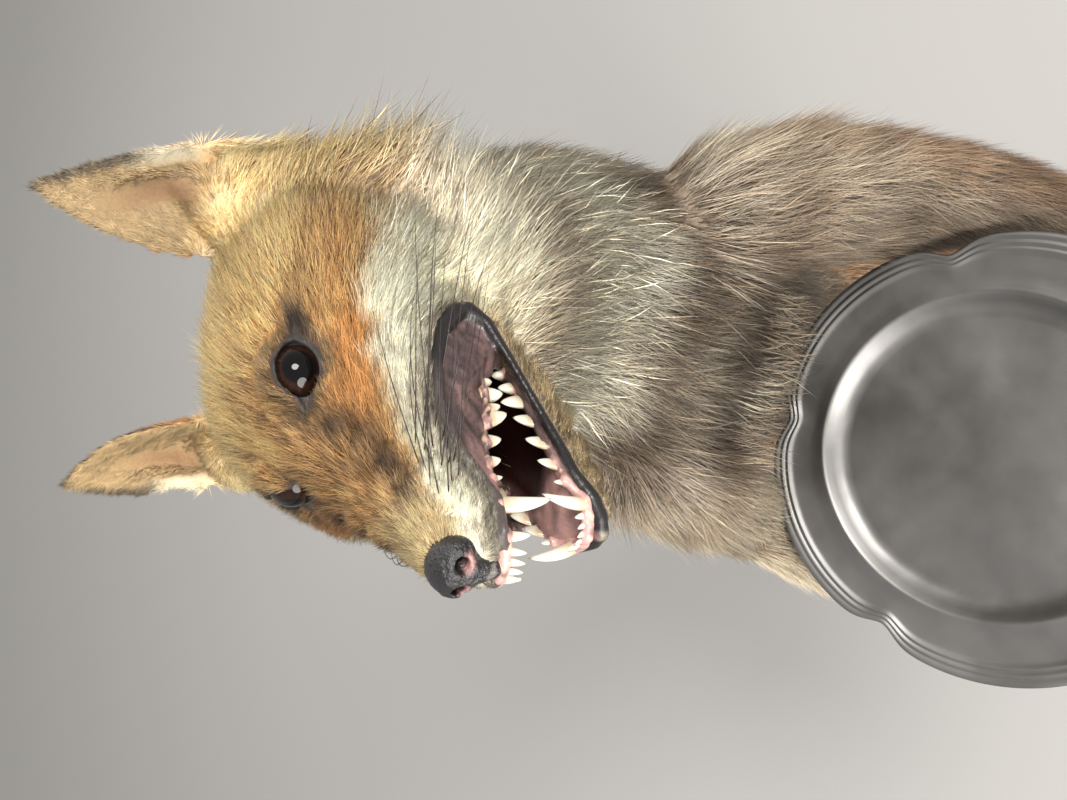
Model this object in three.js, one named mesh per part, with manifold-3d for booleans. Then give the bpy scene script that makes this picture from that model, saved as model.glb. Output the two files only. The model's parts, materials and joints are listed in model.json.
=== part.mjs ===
// A taxidermy red fox, life size, mounted upright on its hind legs on a plain board, as the old
// butler mounts stand: it holds a five-lobed pewter plate before its belly and snarls.
// Millimetres, +Z up, origin at the middle of the board's underside; the fox faces -Y and its
// left side is at +X. Every solid reaches out to the tips of the coat.
import * as THREE from "three";
import { mergeVertices } from "three/addons/utils/BufferGeometryUtils.js";
import Module from "manifold-3d";

const wasm = await Module();
wasm.setup();

// ---------------------------------------------------------------- driving dimensions
const GAP = 0.3; // clearance between neighbouring pieces
const BOARD = { width: 320, depth: 400, height: 24, corner: 18, bevel: 4 };

// The head hangs on the point midway between the eyes: x forward, y to its left, z up.
const HEAD_AT = [-38, -80, 795];
const HEAD_YAW = 15; // degrees, turned to the fox's right
const HEAD_PITCH = 17; // degrees, muzzle raised
const HEAD_ROLL = 15; // degrees, left ear raised
const MOUTH_CORNER = { x: -20, z: -58 };
const MOUTH = { reach: 116, rise: 12, drop: 22, cornerHalf: 2.5 };
const EYE = { radius: 10, side: 21, forward: -7, up: -1, gaze: 45, lift: 6 };
const EAR = {
  medial: [-76, 31, 18], lateral: [-87, 80, -6], tip: [-78, 61, 74], buried: -0.14, cup: 19, thickness: 5,
};

const PLATE_AT = [-19, -205, 458];
const PLATE = { lobes: 5, turn: 24, lobeRadius: 117, droop: 4, notch: 6, notchSpread: 6, ring: 88 };

const WAIST_CUT = 640; // height of the cut between trunk and neck
const HIP = { side: 56, back: 8, height: 300 };
const TAIL_LINE = [
  [0, 38, 262], [0, 104, 214], [0, 138, 148], [22, 146, 92], [78, 140, 70], [128, 104, 56],
];

const rad = THREE.MathUtils.degToRad;

// ---------------------------------------------------------------- colours of the parts
const finish = (color, roughness, metalness = 0) =>
  new THREE.MeshStandardMaterial({ color, roughness, metalness });
const FINISH = {
  ginger: finish(0xb98350, 0.9),
  pale: finish(0xb9a68c, 0.9),
  chest: finish(0x93816c, 0.9),
  dark: finish(0x3a2a20, 0.9),
  brush: finish(0xa9794c, 0.95),
  glass: finish(0x1b0d07, 0.08),
  leather: finish(0x17171a, 0.45),
  gum: finish(0xd99a92, 0.4),
  pewter: finish(0x8a8c8e, 0.35, 0.9),
  board: finish(0x4a2f1f, 0.5),
};

// ---------------------------------------------------------------- closed lofts
// Joins rings of equal point count into one closed body, its ends closed by fans.
function loft(rings) {
  const count = rings[0].length;
  const positions = [];
  const index = [];
  for (const ring of rings) for (const p of ring) positions.push(p.x, p.y, p.z);
  for (let r = 0; r + 1 < rings.length; r += 1) {
    for (let i = 0; i < count; i += 1) {
      const a = r * count + i;
      const b = r * count + ((i + 1) % count);
      index.push(a, b, b + count, a, b + count, a + count);
    }
  }
  for (const [r, flip] of [[0, true], [rings.length - 1, false]]) {
    const middle = new THREE.Vector3();
    for (const p of rings[r]) middle.addScaledVector(p, 1 / count);
    const centre = positions.length / 3;
    positions.push(middle.x, middle.y, middle.z);
    for (let i = 0; i < count; i += 1) {
      const a = r * count + i;
      const b = r * count + ((i + 1) % count);
      if (flip) index.push(centre, b, a);
      else index.push(centre, a, b);
    }
  }
  const geometry = new THREE.BufferGeometry();
  geometry.setAttribute("position", new THREE.Float32BufferAttribute(positions, 3));
  geometry.setIndex(index);
  return facingOut(geometry);
}

function signedVolume(geometry) {
  const p = geometry.attributes.position;
  const id = geometry.index.array;
  const [a, b, c] = [new THREE.Vector3(), new THREE.Vector3(), new THREE.Vector3()];
  let six = 0;
  for (let i = 0; i < id.length; i += 3) {
    a.fromBufferAttribute(p, id[i]);
    b.fromBufferAttribute(p, id[i + 1]);
    c.fromBufferAttribute(p, id[i + 2]);
    six += a.dot(b.cross(c));
  }
  return six / 6;
}

function facingOut(geometry) {
  if (signedVolume(geometry) < 0) {
    const id = geometry.index.array;
    for (let i = 0; i < id.length; i += 3) [id[i], id[i + 1]] = [id[i + 1], id[i]];
  }
  return geometry;
}

// A smooth curve through one value of a list of stations, read at the place `at`.
function along(stations, key, value, at) {
  const last = stations.length - 1;
  let k = 0;
  while (k < last - 1 && at > stations[k + 1][key]) k += 1;
  const slope = (i) => {
    const a = stations[Math.max(i - 1, 0)];
    const b = stations[Math.min(i + 1, last)];
    return (b[value] - a[value]) / (b[key] - a[key]);
  };
  const a = stations[k];
  const b = stations[k + 1];
  const h = b[key] - a[key];
  const t = THREE.MathUtils.clamp((at - a[key]) / h, 0, 1);
  const t2 = t * t;
  const t3 = t2 * t;
  return (2 * t3 - 3 * t2 + 1) * a[value] + (t3 - 2 * t2 + t) * h * slope(k)
    + (3 * t2 - 2 * t3) * b[value] + (t3 - t2) * h * slope(k + 1);
}

const power = (value, exponent) => Math.sign(value) * Math.abs(value) ** exponent;

// Ring places between two ends: even in the middle, close together at the rounded ends.
function places(from, to, count) {
  const list = [];
  for (let i = 0; i <= count; i += 1) {
    const t = i / count;
    const eased = 0.5 - 0.5 * Math.cos(Math.PI * t);
    list.push(from + (to - from) * (0.55 * eased + 0.45 * t));
  }
  return list;
}

// ---------------------------------------------------------------- solids that join and cut
function solid(geometry) {
  const bare = geometry.clone();
  bare.deleteAttribute("normal");
  bare.deleteAttribute("uv");
  const merged = mergeVertices(bare, 1e-4);
  const mesh = new wasm.Mesh({
    numProp: 3,
    vertProperties: new Float32Array(merged.attributes.position.array),
    triVerts: new Uint32Array(merged.index.array),
  });
  return new wasm.Manifold(mesh);
}

function shape(manifold) {
  const mesh = manifold.getMesh();
  const geometry = new THREE.BufferGeometry();
  geometry.setAttribute("position", new THREE.BufferAttribute(mesh.vertProperties.slice(), 3));
  geometry.setIndex(new THREE.BufferAttribute(mesh.triVerts.slice(), 1));
  return geometry;
}

const joined = (...parts) => parts.reduce((sum, part) => sum.add(part));
const less = (from, ...cutters) => cutters.reduce((rest, cutter) => rest.subtract(cutter), from);

// The largest body of a cut piece; crumbs left by a cut are dropped.
function mainBody(manifold) {
  const bodies = manifold.decompose();
  bodies.sort((a, b) => b.volume() - a.volume());
  return bodies[0];
}

// ---------------------------------------------------------------- trunk and neck
// Level slices: the middle (cx), half the width, and the front and back faces at each height.
const COLUMN = [
  { z: 226, cx: 0, half: 30, front: -10, back: 34 },
  { z: 240, cx: 0, half: 56, front: -34, back: 56 },
  { z: 275, cx: 0, half: 76, front: -58, back: 68 },
  { z: 330, cx: 0, half: 79, front: -74, back: 66 },
  { z: 400, cx: 0, half: 75, front: -88, back: 54 },
  { z: 470, cx: 0, half: 83, front: -101, back: 54 },
  { z: 540, cx: 2, half: 91, front: -110, back: 58 },
  { z: 600, cx: 9, half: 88, front: -106, back: 58 },
  { z: 650, cx: 14, half: 78, front: -100, back: 50 },
  { z: 700, cx: 7, half: 74, front: -108, back: 40 },
  { z: 735, cx: 3, half: 75, front: -100, back: 34 },
  { z: 762, cx: -4, half: 60, front: -74, back: 20 },
  { z: 777, cx: -8, half: 34, front: -46, back: 2 },
];
const COLUMN_POINTS = 20;

function slice(z, level, grow) {
  const cx = along(COLUMN, "z", "cx", z);
  const half = along(COLUMN, "z", "half", z) + grow;
  const front = along(COLUMN, "z", "front", z) - grow;
  const back = along(COLUMN, "z", "back", z) + grow;
  const cy = (front + back) / 2;
  const ring = [];
  for (let i = 0; i < COLUMN_POINTS; i += 1) {
    const t = (2 * Math.PI * i) / COLUMN_POINTS;
    const x = cx + half * power(Math.cos(t), 0.92);
    const y = cy + ((back - front) / 2) * power(Math.sin(t), 0.92);
    ring.push(new THREE.Vector3(x, y, level));
  }
  return ring;
}

function column(from, to, count, grow = 0) {
  const rings = places(from, to, count).map((z) => slice(z, z, grow));
  if (grow > 0) {
    rings.unshift(slice(from, from - grow, grow));
    rings.push(slice(to, to + grow, grow));
  }
  return solid(loft(rings));
}

const BOTTOM = COLUMN[0].z;
const TOP = COLUMN[COLUMN.length - 1].z;

// ---------------------------------------------------------------- limbs and tail
// A round-ended limb along a smooth line: points, and the half width across (a) and through (b).
function limb({ points, girth, rounds = 6, sides = 10, across = [1, 0, 0], grow = 0, capAngles = [60, 30] }) {
  const curve = new THREE.CatmullRomCurve3(points.map((p) => new THREE.Vector3(...p)));
  const stations = girth.map(([t, a, b]) => ({ t, a, b }));
  const side = new THREE.Vector3(...across);
  const ringAt = (t, shift, scale) => {
    const tangent = curve.getTangentAt(t);
    const centre = curve.getPointAt(t).addScaledVector(tangent, shift);
    const u = side.clone().addScaledVector(tangent, -side.dot(tangent)).normalize();
    const v = new THREE.Vector3().crossVectors(tangent, u);
    const a = (along(stations, "t", "a", t) + grow) * scale;
    const b = (along(stations, "t", "b", t) + grow) * scale;
    const ring = [];
    for (let i = 0; i < sides; i += 1) {
      const angle = (2 * Math.PI * i) / sides;
      ring.push(centre.clone().addScaledVector(u, a * Math.cos(angle))
        .addScaledVector(v, b * Math.sin(angle)));
    }
    return ring;
  };
  const rings = [];
  const endGirth = (t) => Math.min(along(stations, "t", "a", t), along(stations, "t", "b", t));
  for (const angle of capAngles) {
    const reach = (endGirth(0) + grow) * Math.sin(rad(angle)) * 0.8;
    rings.push(ringAt(0, -reach, Math.cos(rad(angle))));
  }
  for (let i = 0; i <= rounds; i += 1) rings.push(ringAt(i / rounds, 0, 1));
  for (const angle of capAngles.slice().reverse()) {
    const reach = (endGirth(1) + grow) * Math.sin(rad(angle)) * 0.8;
    rings.push(ringAt(1, reach, Math.cos(rad(angle))));
  }
  return solid(loft(rings));
}

// The forelegs reach down and forward beside the plate, the paws turned in beneath its rim.
const FORELEG = {
  left: {
    upper: [[50, -40, 578], [88, -82, 542], [111, -124, 501]],
    fore: [[111, -124, 501], [115, -164, 466], [111, -206, 430]],
    paw: [[111, -206, 430], [98, -226, 427], [72, -240, 430]],
  },
  right: {
    upper: [[-46, -32, 580], [-79, -54, 520], [-102, -76, 458]],
    fore: [[-102, -76, 458], [-111, -130, 438], [-114, -190, 425]],
    paw: [[-114, -190, 425], [-106, -216, 424], [-84, -236, 429]],
  },
};
const UPPER_ARM_GIRTH = [[0, 38, 40], [0.5, 41, 42], [1, 32, 34]];
const FOREARM_GIRTH = [[0, 30, 32], [0.5, 26, 28], [1, 20, 20]];
const PAW_GIRTH = [[0, 19, 19], [0.5, 21, 19], [1, 20, 15]];

function toes({ root, ahead, side, spread, length, radius, up }) {
  const forward = new THREE.Vector3(...ahead).normalize();
  const across = new THREE.Vector3(...side).normalize();
  const high = new THREE.Vector3(...up);
  const start = new THREE.Vector3(...root);
  const parts = [];
  for (const place of [-1.5, -0.5, 0.5, 1.5]) {
    const inner = Math.abs(place) < 1 ? 1 : 0.84;
    const heel = start.clone().addScaledVector(across, place * spread);
    const tip = heel.clone().addScaledVector(forward, length * inner)
      .addScaledVector(across, place * spread * 0.12);
    const middle = heel.clone().lerp(tip, 0.5).addScaledVector(high, radius * 0.35);
    parts.push(limb({
      points: [heel.toArray(), middle.toArray(), tip.toArray()],
      girth: [[0, radius * 0.9, radius * 0.9], [0.6, radius, radius], [1, radius * 0.8, radius * 0.7]],
      rounds: 2,
      sides: 5,
      across: side,
      capAngles: [],
    }));
    parts.push(claw(tip, forward, high, radius));
  }
  return joined(...parts);
}

// A claw is a short tapered hook, joined to its toe.
function claw(tip, forward, high, radius) {
  const root = tip.clone().addScaledVector(high, radius * 0.15);
  const bend = root.clone().addScaledVector(forward, radius * 1.2);
  const point = bend.clone().addScaledVector(forward, 5).addScaledVector(high, -4);
  return limb({
    points: [root.toArray(), bend.toArray(), point.toArray()],
    girth: [[0, 2, 2.4], [0.5, 1.8, 2.2], [1, 0.5, 0.6]],
    rounds: 1,
    sides: 3,
    across: [1, 0.2, 0],
    capAngles: [],
  });
}

// The hind legs stand on the board: thigh forward to the knee, shank back to the hock.
const HIND = {
  knee: [70, -60, 202],
  hock: [66, 40, 110],
  ball: [64, -8, 44],
  toe: [66, -24, 38],
};
const THIGH_GIRTH = [[0, 42, 62], [0.45, 40, 60], [1, 29, 33]];
const SHANK_GIRTH = [[0, 31, 34], [0.4, 26, 32], [1, 17, 20]];
const HIND_FOOT_GIRTH = [[0, 14.5, 16], [0.5, 15, 15], [1, 21, 14]];

const mirrored = (points, sign) => points.map(([x, y, z]) => [x * sign, y, z]);

// ---------------------------------------------------------------- the head
// Stations from the back of the skull to the end of the muzzle, in the head's own axes: the
// crown (top), the underside of the jaw (bottom), and the widest level with its half width.
const HEAD = [
  { x: -104, top: 0, bottom: -58, level: -28, half: 34 },
  { x: -96, top: 12, bottom: -72, level: -30, half: 56 },
  { x: -78, top: 22, bottom: -88, level: -34, half: 71 },
  { x: -55, top: 27, bottom: -98, level: -36, half: 75 },
  { x: -32, top: 26, bottom: -100, level: -36, half: 70 },
  { x: -12, top: 20, bottom: -98, level: -30, half: 61 },
  { x: 6, top: 11, bottom: -95, level: -30, half: 47 },
  { x: 24, top: 0, bottom: -92, level: -32, half: 32 },
  { x: 44, top: -10, bottom: -89, level: -33, half: 21.5 },
  { x: 60, top: -17, bottom: -86, level: -33, half: 16.5 },
  { x: 70, top: -20, bottom: -78, level: -33, half: 13.5 },
  { x: 77, top: -24, bottom: -56, level: -34, half: 9.5 },
];
const HEAD_POINTS = 20;

function headSection(x, at, grow) {
  const top = along(HEAD, "x", "top", x) + grow;
  const bottom = along(HEAD, "x", "bottom", x) - grow;
  const level = along(HEAD, "x", "level", x);
  const half = along(HEAD, "x", "half", x) + grow;
  const muzzle = THREE.MathUtils.smoothstep(x, -10, 45);
  const brow = Math.exp(-(((x - 2) / 24) ** 2)); // the face narrows to the eyes and to the lips
  const upper = THREE.MathUtils.lerp(0.98, 0.88, muzzle) + 0.36 * brow;
  const lower = THREE.MathUtils.lerp(0.95, 1.08, muzzle) + 0.3 * brow;
  const ring = [];
  for (let i = 0; i < HEAD_POINTS; i += 1) {
    const t = (2 * Math.PI * (i + 0.5)) / HEAD_POINTS;
    const rise = Math.sin(t);
    const reach = rise > 0 ? top - level : level - bottom;
    const fine = rise > 0 ? upper : lower;
    ring.push(new THREE.Vector3(at, half * power(Math.cos(t), fine), level + reach * power(rise, fine)));
  }
  return ring;
}

function headBody(grow = 0) {
  const back = HEAD[0].x;
  const front = HEAD[HEAD.length - 1].x;
  const rings = places(back, front, 13).map((x) => headSection(x, x, grow));
  if (grow > 0) {
    rings.unshift(headSection(back, back - grow, grow));
    rings.push(headSection(front, front + grow, grow));
  }
  return solid(loft(rings));
}

// A slab through the head with the side outline given as [x, z] corners.
function sidewaysSlab(corners, halfWidth) {
  const outline = new THREE.Shape(corners.map(([x, z]) => new THREE.Vector2(x, z)));
  const geometry = new THREE.ExtrudeGeometry(outline, { depth: 2 * halfWidth, bevelEnabled: false });
  geometry.rotateX(Math.PI / 2);
  geometry.translate(0, halfWidth, 0);
  return solid(geometry);
}

// Height of the two lip lines ahead of the corner of the mouth.
const gape = (x) => Math.max(x - MOUTH_CORNER.x, 0) / MOUTH.reach;
const upperLip = (x) => MOUTH_CORNER.z + MOUTH.cornerHalf + MOUTH.rise * gape(x) ** 0.75;
const lowerLip = (x) => MOUTH_CORNER.z - MOUTH.cornerHalf - MOUTH.drop * gape(x) ** 0.8;

// The open mouth: a wedge between the lip lines.
function mouthWedge() {
  const steps = 6;
  const line = [];
  for (let i = 0; i <= steps; i += 1) {
    line.push(MOUTH_CORNER.x + 2 + (MOUTH.reach - 2) * (i / steps));
  }
  const above = line.map((x) => [x, upperLip(x)]);
  const below = line.map((x) => [x, lowerLip(x)]).reverse();
  return sidewaysSlab([...above, ...below, [MOUTH_CORNER.x, MOUTH_CORNER.z]], 70);
}

// The hollow between the rows of teeth: palate above, floor of the mouth below.
function mouthHollow() {
  return limb({
    points: [[-34, 0, -60], [10, 0, -58.5], [58, 0, -59]],
    girth: [[0, 20, 10], [0.5, 14.5, 17], [1, 7, 19]],
    rounds: 3,
    sides: 8,
    across: [0, 1, 0],
  });
}

function eyeDirection(sign) {
  const gaze = rad(EYE.gaze);
  const lift = rad(EYE.lift);
  return new THREE.Vector3(
    Math.cos(gaze) * Math.cos(lift), sign * Math.sin(gaze) * Math.cos(lift), Math.sin(lift),
  );
}

const eyeCentre = (sign) => new THREE.Vector3(EYE.forward, sign * EYE.side, EYE.up);

function eyeball(sign, grow = 0) {
  const ball = new THREE.SphereGeometry(EYE.radius + grow, 10, 7);
  const centre = eyeCentre(sign);
  ball.translate(centre.x, centre.y, centre.z);
  return solid(ball);
}

// The slot between the lids, widening outward from the eyeball.
function lidOpening(sign) {
  const direction = eyeDirection(sign);
  const centre = eyeCentre(sign);
  const from = centre.clone().addScaledVector(direction, 3).toArray();
  const to = centre.clone().addScaledVector(direction, 26).toArray();
  return limb({
    points: [from, centre.clone().addScaledVector(direction, 14).toArray(), to],
    girth: [[0, 8.5, 6.2], [0.5, 9, 7], [1, 16, 14]],
    rounds: 2,
    sides: 10,
    capAngles: [],
    across: [-direction.y, direction.x, 0],
  });
}

// The nose pad, with its two nostrils.
const NOSE = {
  points: [[68, 0, -31], [76, 0, -31], [82, 0, -32.5]],
  girth: [[0, 10, 9.8], [0.55, 10.6, 10.4], [1, 7, 7.2]],
  rounds: 3,
  sides: 10,
  across: [0, 1, 0],
};

function nosePad() {
  const nostril = (sign) => limb({
    points: [[77, sign * 11, -31.5], [83, sign * 7, -30.5], [90, sign * 5, -29]],
    girth: [[0, 2, 1.8], [0.5, 2.8, 2.4], [1, 3.2, 2.6]],
    rounds: 1,
    sides: 5,
    across: [0, 1, 0],
    capAngles: [],
  });
  return less(limb(NOSE), nostril(1), nostril(-1));
}

// An ear is a leaf-shaped cup: crescent sections from the root to the tip.
function ear(sign) {
  const place = ([x, y, z]) => new THREE.Vector3(x, sign * y, z);
  const [medial, lateral, tip] = [EAR.medial, EAR.lateral, EAR.tip].map(place);
  const root = medial.clone().lerp(lateral, 0.5);
  const across = lateral.clone().sub(medial).normalize();
  const open = new THREE.Vector3().crossVectors(across, tip.clone().sub(root)).normalize().multiplyScalar(sign);
  const baseHalf = lateral.distanceTo(medial) / 2;
  const rings = [];
  const rounds = 8;
  const sides = 5;
  for (let i = 0; i <= rounds; i += 1) {
    const t = i / rounds;
    const rise = THREE.MathUtils.lerp(EAR.buried, 1, t);
    const leaf = 1 - Math.max(rise, 0) ** 2.1;
    const half = baseHalf * leaf + 1.4;
    const cup = EAR.cup * leaf * (1 - 0.3 * t);
    const thick = EAR.thickness * (1 - 0.4 * t);
    const middle = root.clone().lerp(tip, rise);
    const back = (s) => cup * (s * s - 0.75);
    const ring = [];
    for (let k = 0; k <= sides; k += 1) {
      const s = (k / sides) * 2 - 1;
      ring.push(middle.clone().addScaledVector(across, half * s).addScaledVector(open, back(s)));
    }
    for (let k = sides - 1; k >= 1; k -= 1) {
      const s = (k / sides) * 2 - 1;
      ring.push(middle.clone().addScaledVector(across, half * s * 0.94)
        .addScaledVector(open, back(s) + thick * (1 - 0.5 * s * s)));
    }
    rings.push(ring);
  }
  return solid(loft(rings));
}

// ---------------------------------------------------------------- gums and teeth
// The tooth row of a jaw: x forward against half width, from the incisors to the last molar.
const archHalf = (x) => 12.4 * Math.sqrt(Math.max(1 - ((x - 52) / 27) ** 2, 0)) * (x > 52 ? 1 : 0)
  + (x > 52 ? 0 : 12.4 + (52 - x) * 0.19);

function tooth({ at, lean, height, width, depth, hook = 0, sides = 4 }) {
  const root = new THREE.Vector3(...at);
  const axis = new THREE.Vector3(...lean).normalize();
  const tip = root.clone().addScaledVector(axis, height);
  const middle = root.clone().lerp(tip, 0.5);
  middle.x += hook;
  return limb({
    points: [root.toArray(), middle.toArray(), tip.toArray()],
    girth: [[0, width, depth], [0.35, width, depth], [0.75, width * 0.62, depth * 0.62],
      [1, width * 0.16, depth * 0.16]],
    rounds: sides > 4 ? 2 : 1,
    sides,
    across: [0, 1, 0],
    capAngles: [],
  });
}

// upper: the teeth hang from the palate; lower: they rise from the jaw.
const UPPER_TEETH = {
  gum: (x) => upperLip(x) - 2.8,
  front: 73,
  incisors: { height: 3.6, width: 1.5, depth: 1.6 },
  canine: { x: 62.5, height: 12.5, width: 2.4, depth: 3.2 },
  cheek: [[51, 4], [41, 5], [30, 5.6], [17, 7.4], [4, 4.4], [-5, 3.6]],
  down: -1,
};
const LOWER_TEETH = {
  gum: (x) => lowerLip(x) + 2.8,
  front: 70.5,
  incisors: { height: 3.4, width: 1.3, depth: 1.4 },
  canine: { x: 66, height: 12.5, width: 2.3, depth: 3 },
  cheek: [[54, 3.4], [46, 4.4], [37, 5], [28, 5.4], [15, 7.2], [2, 4], [-6, 3.2]],
  down: 1,
};

function toothRow(row, taper) {
  const { gum, down } = row;
  const parts = [];
  const back = -12;
  const oneSide = [back, 20, 48, 61].map((x) => [x, archHalf(x) * taper * (x > 55 ? 0.92 : 1), gum(x)]);
  oneSide.push([row.front - 4, 6 * taper, gum(row.front)]);
  const otherSide = oneSide.map(([x, y, z]) => [x, -y, z]).reverse();
  parts.push(limb({
    points: [...oneSide, [row.front - 2, 0, gum(row.front)], ...otherSide],
    girth: [[0, 2.2, 3], [0.5, 2.2, 3], [1, 2.2, 3]],
    rounds: 10,
    sides: 5,
    across: [0, 0, 1],
    capAngles: [30],
  }));
  for (const k of [-2.5, -1.5, -0.5, 0.5, 1.5, 2.5]) {
    const y = k * 2.9 * taper;
    const corner = Math.abs(k) > 2 ? 1.35 : 1;
    const { height, width, depth } = row.incisors;
    const x = row.front - 0.42 * k * k;
    parts.push(tooth({ at: [x, y, gum(x)], lean: [0.22, k * 0.04, down], height: height * corner, width, depth }));
  }
  for (const sign of [1, -1]) {
    const { x, height, width, depth } = row.canine;
    const y = sign * 11.6 * taper;
    parts.push(tooth({
      at: [x, y, gum(x)], lean: [down < 0 ? 0.12 : 0.02, sign * 0.1, down],
      height, width, depth, hook: 1.6, sides: 6,
    }));
    for (const [place, high] of row.cheek) {
      const at = [place, sign * archHalf(place) * taper, gum(place)];
      parts.push(tooth({ at, lean: [0, sign * 0.06, down], height: high, width: 1.9, depth: 2 + high * 0.42 }));
    }
  }
  return joined(...parts);
}

// ---------------------------------------------------------------- the plate
function plateRadius(angle) {
  const span = 360 / PLATE.lobes;
  const within = ((((angle - PLATE.turn) % span) + span) % span) - span / 2;
  const half = span / 2;
  const toNotch = half - Math.abs(within);
  return PLATE.lobeRadius - PLATE.droop * (within / half) ** 2
    - PLATE.notch * Math.exp(-((toNotch / PLATE.notchSpread) ** 2));
}

// Half section of the plate, [radius, height], over the top and back underneath.
const PLATE_SECTION = [
  [75, 0.5], [85, 9.2], [90, 8.6], [106, 9.8], [110, 12], [117, 11.4], [116.5, 8.8], [86, 6], [75, -2],
];

function plateBody(section = PLATE_SECTION) {
  const steps = 40;
  const rings = section.map(([r, z]) => {
    const ring = [];
    for (let i = 0; i < steps; i += 1) {
      const angle = (360 * i) / steps;
      const beyond = Math.max(r - PLATE.ring, 0) / (PLATE.lobeRadius - PLATE.ring);
      const out = Math.min(r, PLATE.ring) + beyond * (plateRadius(angle) - PLATE.ring);
      ring.push(new THREE.Vector3(out * Math.cos(rad(angle)), out * Math.sin(rad(angle)), z));
    }
    return ring;
  });
  const body = loft(rings);
  body.translate(...PLATE_AT);
  return solid(body);
}

// The room the plate takes in the coat: a plain lobed disc that clears it all round.
const plateHighest = Math.max(...PLATE_SECTION.map(([, z]) => z)) + GAP;
const plateLowest = Math.min(...PLATE_SECTION.map(([, z]) => z)) - GAP;
const PLATE_ROOM = [
  [60, plateHighest], [PLATE.lobeRadius + 2 * GAP, plateHighest],
  [PLATE.lobeRadius + 2 * GAP, 8], [PLATE.ring + 4, 4.5], [78, plateLowest], [60, plateLowest],
];

// ---------------------------------------------------------------- the board
function board() {
  const { width, depth, height, corner, bevel } = BOARD;
  const w = width / 2 - bevel;
  const d = depth / 2 - bevel;
  const r = corner;
  const outline = new THREE.Shape();
  outline.moveTo(-w + r, -d);
  outline.lineTo(w - r, -d);
  outline.absarc(w - r, -d + r, r, -Math.PI / 2, 0);
  outline.absarc(w - r, d - r, r, 0, Math.PI / 2);
  outline.absarc(-w + r, d - r, r, Math.PI / 2, Math.PI);
  outline.absarc(-w + r, -d + r, r, Math.PI, 1.5 * Math.PI);
  const geometry = new THREE.ExtrudeGeometry(outline, {
    depth: height - 2 * bevel, bevelThickness: bevel, bevelSize: bevel, bevelSegments: 1, curveSegments: 3,
  });
  geometry.translate(0, 0, bevel);
  return solid(geometry);
}

// ---------------------------------------------------------------- building the group
const fox = new THREE.Group();
const headGroup = new THREE.Group();
headGroup.position.set(...HEAD_AT);
fox.add(headGroup);

const forward = new THREE.Vector3(
  -Math.sin(rad(HEAD_YAW)) * Math.cos(rad(HEAD_PITCH)),
  -Math.cos(rad(HEAD_YAW)) * Math.cos(rad(HEAD_PITCH)),
  Math.sin(rad(HEAD_PITCH)),
);
const level = new THREE.Vector3(Math.cos(rad(HEAD_YAW)), -Math.sin(rad(HEAD_YAW)), 0);
const upright = new THREE.Vector3().crossVectors(forward, level);
const leftward = level.clone().multiplyScalar(Math.cos(rad(HEAD_ROLL)))
  .addScaledVector(upright, Math.sin(rad(HEAD_ROLL)));
const upward = new THREE.Vector3().crossVectors(forward, leftward);
headGroup.quaternion.setFromRotationMatrix(new THREE.Matrix4().makeBasis(forward, leftward, upward));
headGroup.updateMatrixWorld(true);

function add(name, manifold, material, group = fox) {
  const mesh = new THREE.Mesh(shape(mainBody(manifold)), material);
  mesh.name = name;
  group.add(mesh);
}

// A solid of the head, brought into the axes of the whole fox.
function placedHead(manifold) {
  const geometry = shape(manifold);
  geometry.applyMatrix4(headGroup.matrixWorld);
  return solid(geometry);
}

add("stand_base", board(), FINISH.board);
const plateRoom = plateBody(PLATE_ROOM);
add("plate", plateBody(), FINISH.pewter);

const trunkRoom = column(BOTTOM, WAIST_CUT, 12, GAP);
add("trunk", less(column(BOTTOM, WAIST_CUT - GAP / 2, 12), plateRoom), FINISH.chest);
const headRoom = placedHead(headBody(GAP));
add("neck", less(column(WAIST_CUT + GAP / 2, TOP, 6), headRoom), FINISH.pale);

for (const [side, sign] of [["left", 1], ["right", -1]]) {
  const leg = FORELEG[side];
  const upper = { points: leg.upper, girth: UPPER_ARM_GIRTH, rounds: 3 };
  const fore = { points: leg.fore, girth: FOREARM_GIRTH, rounds: 3 };
  const paw = { points: leg.paw, girth: PAW_GIRTH, rounds: 2, sides: 8, across: [0.3 * sign, 1, 0] };
  const neckRoom = column(WAIST_CUT - GAP, TOP, 6, GAP);
  add(`upper_arm_${side}`, less(limb(upper), trunkRoom, neckRoom, plateRoom), FINISH.ginger);
  const upperRoom = limb({ ...upper, grow: GAP });
  add(`forearm_${side}`, less(limb(fore), upperRoom, trunkRoom, plateRoom), FINISH.ginger);
  const pawBody = joined(limb(paw), toes({
    root: leg.paw[2], ahead: [-0.8 * sign, -0.6, 0.1], side: [-0.6 * sign, 0.8, 0], up: [0, 0, 1],
    spread: 9, length: 16, radius: 7,
  }));
  add(`forepaw_${side}`, less(pawBody, limb({ ...fore, grow: GAP }), plateRoom), FINISH.dark);
}

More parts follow.
